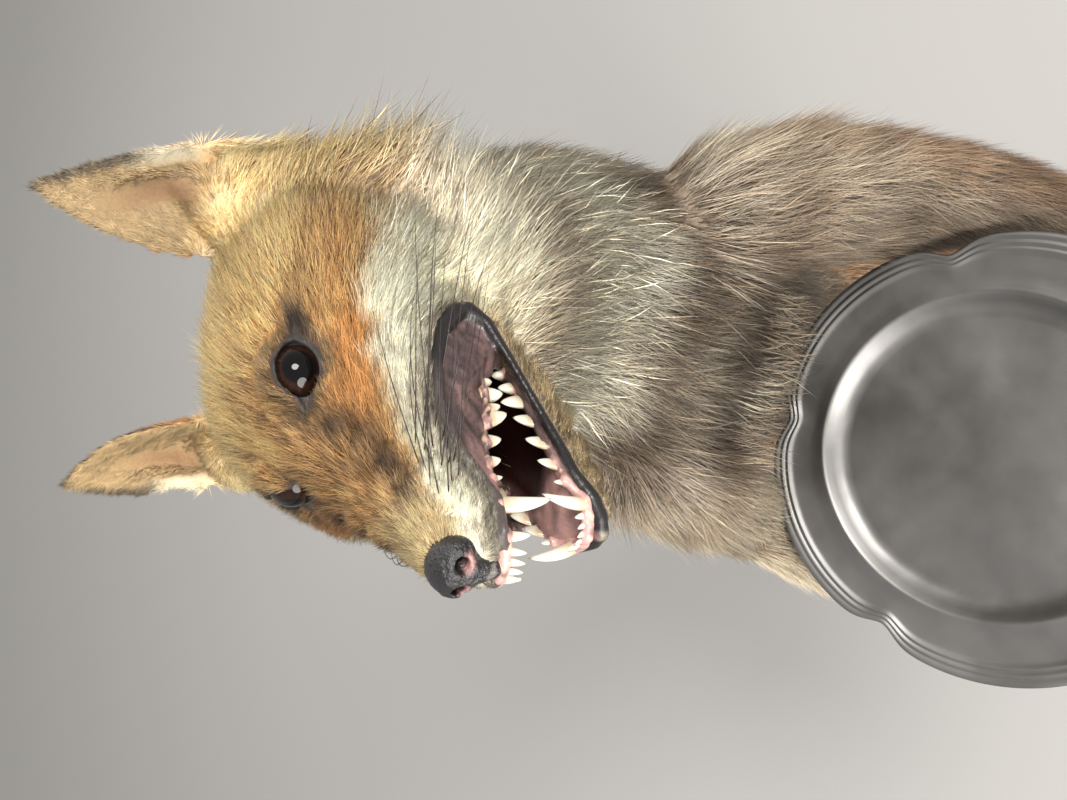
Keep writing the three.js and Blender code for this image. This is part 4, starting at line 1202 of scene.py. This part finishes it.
def add_bump(tree, shader, height, strength, distance):
    """Relief from a height."""
    relief = node(tree, "Bump", Strength=strength, Distance=distance, Height=height)
    set_inputs(tree, shader, Normal=relief.outputs[0])


def two_tones(tree, level, dark, dark_at, pale, pale_at):
    """A colour that runs from a dark to a pale tone with a level."""
    tone = node(tree, "ValToRGB", Fac=level)
    for stop, colour, place in zip(tone.color_ramp.elements, (dark, pale), (dark_at, pale_at)):
        stop.position = place
        stop.color = (*colour, 1)
    return tone.outputs["Color"]


WET_ROUGHNESS = 0.24


def textured(name, roughness, noise_scale, bump, bump_scale, specular, contrast, wet=False):
    """A material whose colour is the mesh's own, broken up by fine noise, with a bump."""
    material, tree, shader = new_material(name)
    colour = node(tree, "Attribute", [("attribute_name", "Coat")]).outputs["Color"]
    place = node(tree, "TexCoord").outputs["Object"]
    grain = node(tree, "TexNoise", Scale=noise_scale, Detail=4.0, Vector=place).outputs["Fac"]
    level = node(tree, "MapRange", To_Min=1 - contrast, To_Max=1 + contrast, Value=grain).outputs[0]
    tint = node(tree, "VectorMath", [("operation", "SCALE")], Vector=colour, Scale=level).outputs[0]
    set_inputs(tree, shader, Base_Color=tint, Roughness=roughness, Specular_IOR_Level=specular)
    if bump:
        relief = node(tree, "TexNoise", Scale=bump_scale, Detail=5.0, Vector=place).outputs["Fac"]
        add_bump(tree, shader, relief, bump, 0.0006)
    if wet:
        shine = node(tree, "Attribute", [("attribute_name", "Wet")]).outputs["Fac"]
        rough = node(tree, "MapRange", To_Min=roughness, To_Max=WET_ROUGHNESS, Value=shine)
        set_inputs(tree, shader, Roughness=rough.outputs[0])
    return material


# ---------------- nose
NOSE_PIVOT = np.array([81.0, 0.0, -34.0])
NOSE_SCALE = 0.83
NOSE_SHIFT = np.array([-0.3, 0.0, 2.5])


def make_nose(material):
    """The bare nose, with its nostrils, side slits and the groove down its middle."""
    field = Field((58, -16, -50), (90, 16, -14), 0.5)
    q = NOSE_PIVOT + (field.points() - NOSE_PIVOT) / NOSE_SCALE
    x, y, z = split(q)

    def ball(cx, cy, cz, rx, ry, rz):
        k = np.sqrt(((x - cx) / rx) ** 2 + ((y - cy) / ry) ** 2 + ((z - cz) / rz) ** 2)
        return (k - 1) * min(rx, ry, rz)

    def hollow(line, half):
        return -along(fold, line, half)[0]

    fold = folded(q)
    d = ball(72.5, 0, -30, 8.6, 10.6, 9.0)
    d = smooth_min(d, ball(77.5, 0, -31, 5.4, 8.6, 8.2), 3.0)
    d = smooth_min(d, ball(75, 7.6, -31.5, 5.2, 4.4, 5.4), 2.0)
    d = smooth_min(d, along(fold, [[77, 0, -36], [78.5, 0, -43]], [5.4, 4.0])[0], 3.0)
    d = smooth_max(d, hollow([[84, 5.2, -31], [78, 5.9, -31], [74, 6.5, -31]], [3.2, 2.4, 1.5]), 1.2)
    d = smooth_max(d, hollow([[82, 7.2, -33.5], [79, 9.6, -34.2], [75, 12.4, -34]],
    [1.0, 0.9, 0.8]), 0.9)
    d = smooth_max(d, hollow([[83.4, 0, -25], [84, 0, -33], [83, 0, -44]], [0.5, 0.9, 0.8]), 0.9)
    d = d - 0.14 * noise(q, 2.2, 31) * ramp(x, 66, 70)
    field.d = (d * NOSE_SCALE).astype(np.float32)
    grown, faces = field.to_mesh()
    points = NOSE_PIVOT + (grown - NOSE_PIVOT) / NOSE_SCALE
    x, y, z = points.T
    from_hole = points - (79.5, 0, -31.5)
    from_hole[:, 1] -= np.sign(y) * 5.8
    hole = np.linalg.norm(from_hole * (0.7, 1, 1), axis=1)
    pink = hump(hole, 3.1, 1.0) * ramp(-z, 31.0, 33.5) * ramp(x, 76, 78.5)
    worn = ramp(noise(points, 5, 32), 0.5, 1.2) * ramp(-z, 33, 38) * ramp(x, 78, 81)
    colour = paint(
        srgb(21, 19, 21),
        (srgb(172, 128, 124), np.clip(pink, 0, 1) * 0.75),
        (srgb(120, 112, 108), worn * 0.5),
        # painted shade deep in each nostril
        (srgb(6, 5, 5), 1 - ramp(hole, 1.0, 2.6)))
    obj = make_object("nose_leather", from_head(grown + NOSE_SHIFT), faces, material, colour)
    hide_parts("nose")


# ---------------- teeth and gums
def ring_faces(rings, sides):
    """Triangles between rings of points that follow each other."""
    faces = []
    for i in range(rings - 1):
        for j in range(sides):
            a, b = i * sides + j, i * sides + (j + 1) % sides
            faces += [(a, b, b + sides), (a, b + sides, a + sides)]
    return faces


def tooth(base, tip, width, depth, bend, sides=12, rings=9):
    """A curved cone from its root to its tip; width along x, depth across, bend along x at the middle."""
    axis = unit(tip - base)
    ahead = unit(np.array([1.0, 0, 0]) - axis * axis[0])
    across = np.cross(axis, ahead)
    root = base - axis * 2.5
    points = []
    for i in range(rings):
        t = i / rings
        full = (1 - max(0.0, (t - 0.15) / 0.85) ** 1.7) ** 0.72
        middle = root + (tip - root) * t + ahead * bend * 4 * t * (1 - t)
        for j in range(sides):
            a = 2 * math.pi * j / sides
            points.append(middle + ahead * width * 0.5 * full * math.cos(a)
                          + across * depth * 0.5 * full * math.sin(a))
    last = (rings - 1) * sides
    tip_faces = [(last + j, last + (j + 1) % sides, rings * sides) for j in range(sides)]
    root_faces = [((j + 1) % sides, j, rings * sides + 1) for j in range(sides)]
    return np.array(points + [tip, root]), np.array(ring_faces(rings, sides) + tip_faces + root_faces)


# Each tooth: root x, y, z, tip x, y, z, width, depth, bend.
UPPER_TEETH = [
    (78.6, 1.7, -44.4, 81.2, 1.7, -49.2, 2.6, 3.1, 0.3),
    (77.8, 4.8, -44.6, 80.4, 5.0, -49.4, 2.8, 3.1, 0.3),
    (75.0, 8.0, -45.6, 76.6, 8.4, -51.8, 3.8, 3.4, 0.4),
    (53.5, 13.4, -49.2, 53.2, 13.4, -51.9, 3.2, 2.2, 0),
    (46.0, 14.6, -50.4, 45.4, 14.9, -54.3, 6.4, 2.6, 0),
    (37.6, 16.8, -52.8, 37.0, 17.1, -57.6, 7.4, 2.8, 0),
    (28.0, 18.9, -56.6, 26.2, 19.6, -63.8, 8.6, 3.4, 0),
    (23.4, 19.9, -58.6, 21.8, 20.4, -63.2, 6.0, 3.4, 0),
    (17.0, 21.2, -60.0, 17.4, 22.2, -65.6, 6.6, 6.4, 0),
    (10.0, 22.4, -61.0, 10.6, 23.0, -64.8, 5.4, 5.8, 0),
]
LOWER_TEETH = [
    (71.4, 1.3, -73.6, 73.2, 1.3, -70.6, 2.0, 2.4, 0),
    (70.4, 3.7, -73.9, 72.0, 3.8, -70.8, 2.2, 2.4, 0),
    (68.6, 6.0, -74.2, 69.6, 6.4, -70.4, 2.7, 2.6, 0),
    (58.0, 12.0, -70.6, 57.4, 12.2, -67.8, 3.0, 2.2, 0),
    (49.8, 13.6, -70.9, 47.2, 14.0, -66.4, 6.0, 2.5, 0),
    (40.0, 15.6, -71.2, 36.8, 15.9, -66.4, 6.8, 2.7, 0),
    (29.4, 17.6, -71.6, 26.8, 17.9, -66.0, 7.4, 3.0, 0),
    (20.0, 19.6, -71.6, 19.4, 19.9, -64.4, 7.6, 3.8, 0),
    (12.5, 20.8, -71.2, 11.4, 21.0, -66.2, 6.4, 4.2, 0),
    (5.0, 22.2, -70.4, 4.6, 22.4, -66.6, 5.0, 4.4, 0),
]
UPPER_CANINE = (64.6, 12.0, -46.6, 66.8, 12.9, -62.6, 6.4, 4.6, 1.2)
LOWER_CANINE = (65.2, 8.8, -74.2, 63.4, 12.6, -60.6, 5.2, 4.2, 1.8)


STUB = 0.3


def make_teeth(material, gum_material):
    """Both rows of teeth with their gums; the far upper canine is a stub."""
    upper, lower = UPPER_TEETH + [UPPER_CANINE], LOWER_TEETH + [LOWER_CANINE]
    for name, rows, inward in (("upper", upper, 1), ("lower", lower, -1)):
        parts, colours, gum_line = [], [], []
        for side in (1, -1):
            for k, values in enumerate(rows):
                base, tip = np.array(values[:3]), np.array(values[3:6])
                width, depth, bend = values[6:]
                if name == "upper" and side < 0 and k == len(rows) - 1:
                    tip = base + (tip - base) * STUB
                    width *= 0.9
                base, tip = base * (1, side, 1), tip * (1, side, 1)
                r = np.random.default_rng(100 + k + 50 * (side > 0))
                tip = tip + r.normal(size=3) * 0.15
                p, f = tooth(base, tip, width, depth, bend)
                parts.append((p, f))
                share = np.clip(((p - base) @ unit(tip - base)) / np.linalg.norm(tip - base), 0, 1)
                colours.append(paint(
                    srgb(170, 150, 120),
                    (srgb(206, 200, 184), ramp(share, -0.1, 0.5)),
                    (srgb(196, 182, 158), 0.3 * ramp(share, 0.7, 1))))
                gum_line.append((base, width, depth))
        points, faces = joined(parts)
        obj = make_object(f"teeth_{name}", from_head(points), faces, material, np.concatenate(colours))
        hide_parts(f"{name}_teeth")
        make_gums(name, gum_line, inward, gum_material)


def make_gums(name, gum_line, inward, material):
    """A ridge of flesh along the teeth's roots, with a bulge at each tooth."""
    field = Field((-2, -28, -82), (84, 28, -38), 0.8)
    q = field.points()
    d = np.full(field.shape, 20.0)
    for side in (1, -1):
        line = np.array([base for base, _, _ in gum_line if base[1] * side > 0])
        line = line[np.argsort(-line[:, 0])] + (0, 0, inward * 1.7)
        line = np.concatenate([[line[0] * (1, 0, 1) + (0.4, 0, 0)], line])
        half = np.interp(line[:, 0], [0, 50, 62, 80], [1.0, 1.1, 1.6, 2.0])
        d = smooth_min(d, along(q, line, half)[0], 1.0)
    for base, width, depth in gum_line:
        size = (width * 0.5 + 0.6, depth * 0.5 + 0.6, 2.0)
        bulge = np.linalg.norm((q - base - (0, 0, inward * 1.2)) / size, axis=-1)
        d = smooth_min(d, (bulge - 1) * 2.2, 1.2)
    field.d = (d - 0.12 * noise(q, 3.5, 41)).astype(np.float32)
    p, f = field.to_mesh()
    dull = np.clip(ramp(62 - p[:, 0], 0, 18) * 0.8 + 0.4 * noise(p, 7, 42), 0, 1)
    stain = ramp(noise(p, 3.5, 43), 0.4, 1.1)
    colour = paint(GUM_PINK, (MAUVE, dull), (srgb(214, 176, 150), stain * 0.5))
    make_object(f"gums_{name}", from_head(p), f, material, colour)


# ---------------- eyes
def make_eye(side, material):
    """A glass eye with a cornea's bulge, turned along the gaze."""
    rows, turns = 40, 56
    gaze = GAZE * (1, side, 1)
    across = unit(np.cross(gaze, (0, 0, 1)))
    above = np.cross(across, gaze)
    points, angles = [], []
    for i in range(rows + 1):
        a = math.pi * i / rows
        swell = 1 + 0.035 * math.exp(-((a / 0.62) ** 2))
        for j in range(turns):
            b = 2 * math.pi * j / turns
            d = gaze * math.cos(a) + (across * math.cos(b) + above * math.sin(b)) * math.sin(a)
            points.append(EYE_MIDDLE * (1, side, 1) + d * EYE_RADIUS * swell)
            angles.append((math.degrees(a), b))
    faces = []
    for i in range(rows):
        for j in range(turns):
            p, q = i * turns + j, i * turns + (j + 1) % turns
            if i:
                faces.append((p, q + turns, q))
            if i < rows - 1:
                faces.append((p, p + turns, q + turns))
    points, faces = np.array(points), np.array(faces)
    a, b = np.array(angles).T
    streaks = 0.5 + 0.5 * np.sin(b * 23 + 2 * np.sin(b * 7))
    iris = mix(srgb(34, 18, 11), srgb(16, 9, 6), 0.6 * streaks)
    colour = paint(srgb(5, 4, 5), (iris, ramp(a, 30, 36)), (srgb(16, 9, 7), ramp(a, 54, 62)))
    used, index = np.unique(faces, return_inverse=True)
    faces = index.reshape(faces.shape)
    name = f"eye_glass_{SIDES[side < 0]}"
    obj = make_object(name, from_head(points[used]), faces, material, colour[used])
    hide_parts(f"eye_{SIDES[side < 0]}")


# ---------------- tapered tubes: whiskers and claws
def tube(path, radii, sides=5):
    """A tapered tube along a path, closed at both ends."""
    path = np.asarray(path, float)
    axis = unit(np.gradient(path, axis=0))
    across = unit(np.cross(axis, (0.31, 0.2, 0.93)))
    above = np.cross(axis, across)
    rings = len(path) - 1
    points = []
    for i in range(rings):
        for j in range(sides):
            a = 2 * math.pi * j / sides
            points.append(path[i] + radii[i] * (across[i] * math.cos(a) + above[i] * math.sin(a)))
    points += [path[-1], path[0]]
    top, root = rings * sides, rings * sides + 1
    last = (rings - 1) * sides
    faces = ring_faces(rings, sides)
    for j in range(sides):
        faces += [(last + j, last + (j + 1) % sides, top), ((j + 1) % sides, j, root)]
    return np.array(points), np.array(faces)


def make_many(name, tubes, material, colour):
    """Many tubes as one object of one colour."""
    points, faces = joined(tubes)
    return make_object(name, points, faces, material, np.broadcast_to(colour, points.shape))


def make_whiskers(points, normals, material):
    """Rows of dark whiskers on each side of the muzzle that sweep back."""
    r = np.random.default_rng(77)
    steps = np.linspace(0, 1, 9)
    tubes = []
    for side in (1, -1):
        for row in range(4):
            for k in range(5):
                x = 60 - 4.6 * k - 1.5 * row + r.uniform(-1, 1)
                z = -28 - 2.6 * row + 0.45 * k + r.uniform(-0.6, 0.6)
                off = np.abs(points[:, 0] - x) + np.abs(points[:, 2] - z) + 1000 * (points[:, 1] * side < 4)
                root, out = points[off.argmin()], normals[off.argmin()]
                length = (48 + 10 * k + 5 * row) * r.uniform(0.8, 1.15)
                if side < 0:
                    length *= 0.6
                fall = -0.16 - 0.07 * row + r.uniform(-0.08, 0.08)
                sweep = unit(np.array([-1, side * (0.20 + 0.05 * row), fall]))
                ways = np.array([unit(out * (1 - t) * 0.55 + sweep * (0.5 + t)) for t in steps[:-1]])
                path = root - out * 1.0 + np.concatenate([[np.zeros(3)], np.cumsum(ways, 0)]) * length / 8
                path = path + steps[:, None] ** 2 * np.array([0, 0, -4 + 3 * r.normal()])
                p, f = tube(path, np.linspace(0.24, 0.06, 9))
                tubes.append((from_head(p), f))
    obj = make_many("whiskers", tubes, material, srgb(34, 24, 22))


def make_claws(material):
    """A hooked claw at each toe."""
    tubes = []
    for line in toe_lines():
        ahead = unit(line[2] - line[1])
        start = line[2] + ahead * 4
        steps = np.linspace(0, 1, 8)
        path = [start + ahead * 13 * t + np.array([0, 0, 2.2 * t - 7.0 * t * t]) for t in steps]
        tubes.append(tube(path, [2.1, 2.1, 2.0, 1.8, 1.5, 1.1, 0.7, 0.3], 8))
    obj = make_many("claws", tubes, material, srgb(52, 42, 34))


# ---------------- plate and board
PLATE_AT = np.array([-19.0, -205.0, 458.0])
PLATE_TURN = 24.0
PLATE_RING = 88.0
PLATE_OUT = 117.0
# The plate's section, radius and height: out along its upper face, and back beneath.
PLATE_TOP = [
    (0, 1.0), (20, 1.0), (40, 0.9), (60, 0.8), (72, 0.7), (75.5, 1.0), (78.5, 2.6), (81.5, 5.4),
    (84, 8.0),
    (85.2, 8.9),
    (86.2, 9.3), (87.2, 9.0), (88.4, 9.1), (90, 8.8), (95, 9.0), (100, 9.4), (104, 9.8), (106.2, 10.2),
    (107.2, 11.3),
    (108.2, 11.4), (108.8, 10.9), (109.6, 11.2), (110.6, 12.1), (111.6, 12.1), (112.3, 11.5),
    (113, 11.6),
    (114.2, 12.3), (115.6, 12.3), (116.7, 11.7), (117, 10.8), (116.5, 9.2), (112, 8.6), (100, 7.4),
    (86, 6.2),
    (80, 2.0), (75, -1.8), (60, -1.9), (40, -1.9), (20, -1.9), (0, -1.9),
]


def plate_reach(angle):
    """The rim's radius: five lobes that meet in notches."""
    within = (angle - PLATE_TURN) % 72 - 36
    return PLATE_OUT - 4 * (within / 36) ** 2 - 6 * np.exp(-(((36 - np.abs(within)) / 6) ** 2))


def make_plate(material):
    """The pewter plate, with a lobed rim and shallow dents."""
    turns = 400
    angle = np.arange(turns) * 360 / turns
    reach = plate_reach(angle)
    a = np.radians(angle)
    points, faces = [], []
    for radius, height in PLATE_TOP[1:-1]:
        beyond = max(radius - PLATE_RING, 0) / (PLATE_OUT - PLATE_RING)
        out = min(radius, PLATE_RING) + beyond * (reach - PLATE_RING)
        points.append(np.stack([out * np.cos(a), out * np.sin(a), np.full(turns, float(height))], 1))
    rings = len(points)
    p = np.concatenate(points + [np.array([[0, 0, PLATE_TOP[0][1]], [0, 0, PLATE_TOP[-1][1]]])])
    dent = 0.35 * noise(p * (1, 1, 0), 60, 51) + 0.14 * noise(p * (1, 1, 0), 22, 52)
    within = ramp(84 - np.hypot(p[:, 0], p[:, 1]), 0, 8)
    p[:, 2] += dent * (0.4 + 0.6 * within)
    for i in range(rings - 1):
        for j in range(turns):
            a, b = i * turns + j, i * turns + (j + 1) % turns
            faces += [(a, b + turns, b), (a, a + turns, b + turns)]
    last = (rings - 1) * turns
    for j in range(turns):
        faces.append((rings * turns, j, (j + 1) % turns))
        faces.append((rings * turns + 1, last + (j + 1) % turns, last + j))
    obj = make_object("plate_pewter", p + PLATE_AT, np.array(faces), material)
    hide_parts("plate")


def pewter_material():
    """Dull grey metal with cloudy tone and roughness."""
    material, tree, shader = new_material("pewter")
    place = node(tree, "TexCoord").outputs["Object"]
    cloud = node(tree, "TexNoise", Scale=22.0, Detail=6.0, Vector=place).outputs["Fac"]
    tone = two_tones(tree, cloud, srgb(112, 111, 109), 0.3, srgb(132, 131, 129), 0.72)
    rough = node(tree, "MapRange", From_Min=0.3, From_Max=0.7, To_Min=0.42, To_Max=0.52, Value=cloud)
    set_inputs(tree, shader, Metallic=1.0, Base_Color=tone, Roughness=rough.outputs[0])
    fine = node(tree, "TexNoise", Scale=160.0, Detail=6.0, Vector=place).outputs["Fac"]
    add_bump(tree, shader, fine, 0.12, 0.0004)
    return material


def wood_material():
    """Brown wood with its grain stretched along y."""
    material, tree, shader = new_material("board_wood")
    place = node(tree, "TexCoord").outputs["Object"]
    stretch = node(tree, "Mapping", Scale=(16, 1.6, 10), Vector=place).outputs[0]
    grain = node(tree, "TexNoise", Scale=3.0, Detail=8.0, Distortion=1.6, Vector=stretch).outputs["Fac"]
    tone = two_tones(tree, grain, srgb(62, 38, 22), 0.34, srgb(112, 72, 42), 0.66)
    set_inputs(tree, shader, Base_Color=tone, Roughness=0.38)
    add_bump(tree, shader, grain, 0.2, 0.0005)
    return material


def make_floor():
    """A pale floor for the picture only."""
    mesh = bpy.data.meshes.new("floor")
    mesh.from_pydata([(-4, -4, 0), (4, -4, 0), (4, 4, 0), (-4, 4, 0)], [], [(0, 1, 2, 3)])
    floor = bpy.data.objects.new("floor", mesh)
    bpy.context.scene.collection.objects.link(floor)
    material, _, shader = new_material("floor_pale")
    shader.inputs["Base Color"].default_value = (0.30, 0.295, 0.285, 1)
    shader.inputs["Roughness"].default_value = 0.85
    mesh.materials.append(material)


# ---------------- everything together
def place_in_world(obj):
    """Turns a mesh made in the head's frame into the world's."""
    mesh = obj.data
    p = np.empty(len(mesh.vertices) * 3)
    mesh.vertices.foreach_get("co", p)
    mesh.vertices.foreach_set("co", (from_head(p.reshape(-1, 3) / MM) * MM).astype(np.float32).ravel())
    mesh.update()


def main():
    """Builds everything: stage, skin, small parts and coat."""
    add_camera()
    add_lights()
    make_floor()
    # Each: name, roughness, grain's scale, bump and its scale, specular, contrast.
    skin_material = textured("skin", 0.75, 900.0, 0.35, 700.0, 0.4, 0.3, wet=True)
    coat_material = textured("coat", 0.62, 500.0, 0, 0, 0.28, 0.12)
    tooth_material = textured("ivory", 0.22, 300.0, 0.08, 400.0, 0.5, 0.08)
    gum_material = textured("gums", 0.3, 500.0, 0.4, 900.0, 0.5, 0.2)
    nose_material = textured("nose", 0.3, 900.0, 0.9, 1100.0, 0.5, 0.35)
    eye_material = textured("eye", 0.03, 300.0, 0, 0, 0.22, 0.05)
    horn_material = textured("horn", 0.35, 300.0, 0.1, 300.0, 0.5, 0.25)
    hp, hf = head_skin()
    bp, bf = body_skin()
    hn, bn = vertex_normals(hp, hf), vertex_normals(bp, bf)
    hw = from_head(hp)
    hp = hp + hn * ear_folds(hp, hn)[:, None]
    hn = vertex_normals(hp, hf)
    bare_colour, bare, wet = bare_skin(hp, hn)
    lower = 1 - ramp(above_cut(hw), -6, 45)
    share, up = ear_parts(hp)
    marks = [mix(h, b, lower) for h, b in zip(head_marks(hp), body_marks(hw))]
    marks = [mix(m, e, share) for m, e in zip(marks, ear_marks(hp, hn))]
    length = head_coat(hp) * (1 - lower) + body_parts(hw)[1] * lower
    fringe = ramp(np.abs(np.abs(hp[:, 1]) - 60), 12, 22) * (1 - ramp(up, 0.3, 0.6))
    length = length * (1 - share) + (3.2 + 2.6 * fringe) * share
    way = mix(head_lie(hp), body_lie(hw) @ HEAD.T, lower)
    skin_colour = mix(marks[0] * 0.8, bare_colour, bare)
    body_marking = body_marks(bp)
    body_length = body_parts(bp)[1]
    everything, all_faces = joined([(hw, hf), (bp, bf)])
    skin = make_object("skin", everything, all_faces, skin_material,
                       np.concatenate([skin_colour, body_marking[0] * 0.9]))
    layer = skin.data.attributes.new("Wet", "FLOAT", "POINT")
    layer.data.foreach_set("value", np.concatenate([wet, np.zeros(len(bp))]).astype(np.float32))
    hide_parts(*FLESH)
    make_nose(nose_material)
    make_teeth(tooth_material, gum_material)
    for side in (1, -1):
        make_eye(side, eye_material)
    make_whiskers(hp, hn, horn_material)
    make_claws(horn_material)
    make_plate(pewter_material())
    board = frame["nodes"]["stand_base"]
    board.data.materials.clear()
    board.data.materials.append(wood_material())

    under_nose = np.linalg.norm((hp - (77.5, 0, -29)) / (5.5, 7.5, 9), axis=1)
    hairy = (1 - ramp(bare, 0.15, 0.5)) * ramp(under_nose, 0.95, 1.1)
    hairy = hairy * ramp(above_cut(hw), -2, 0)
    front = 0.62 + 0.38 * ramp(hp[:, 0] * 0.55 + np.abs(hp[:, 1]) * 0.1, -60, -20)
    bare_cup = 1 - 0.55 * share * hump(np.abs(hp[:, 1]), 61, 8)
    grow("coat_head", hp, hf, hn, length, way, marks, 0.75, head_unwrap,
         coat_material, hairy * front * bare_cup, 11, share)
    for obj in bpy.data.objects:
        if obj.name.startswith("coat_head"):
            place_in_world(obj)
    hidden = ramp(-above_cut(bp), -2, 0)
    seen = 0.42 + 0.58 * ramp(-bp[:, 1], -60, 0) * ramp(bp[:, 2], 380, 460)
    grow("coat_body", bp, bf, bn, body_length, body_lie(bp), body_marking, 0.9, limb_unwrap, coat_material,
         hidden * seen, 12, cell=4.2)
    x, y, z = bp.T
    bib = ramp(-y, 66, 82) * ramp(56 - np.abs(x + 6), 0, 14) * ramp(z, 484, 496) * ramp(548 - z, 0, 22)
    grow("coat_bib", bp, bf, bn, np.full(len(bp), BIB_LENGTH), body_lie(bp), body_marking, 0.9, limb_unwrap,
         coat_material, bib * 0.4, 13, short_limit=0.0, cell=4.2, lift=(30, 56))


main()
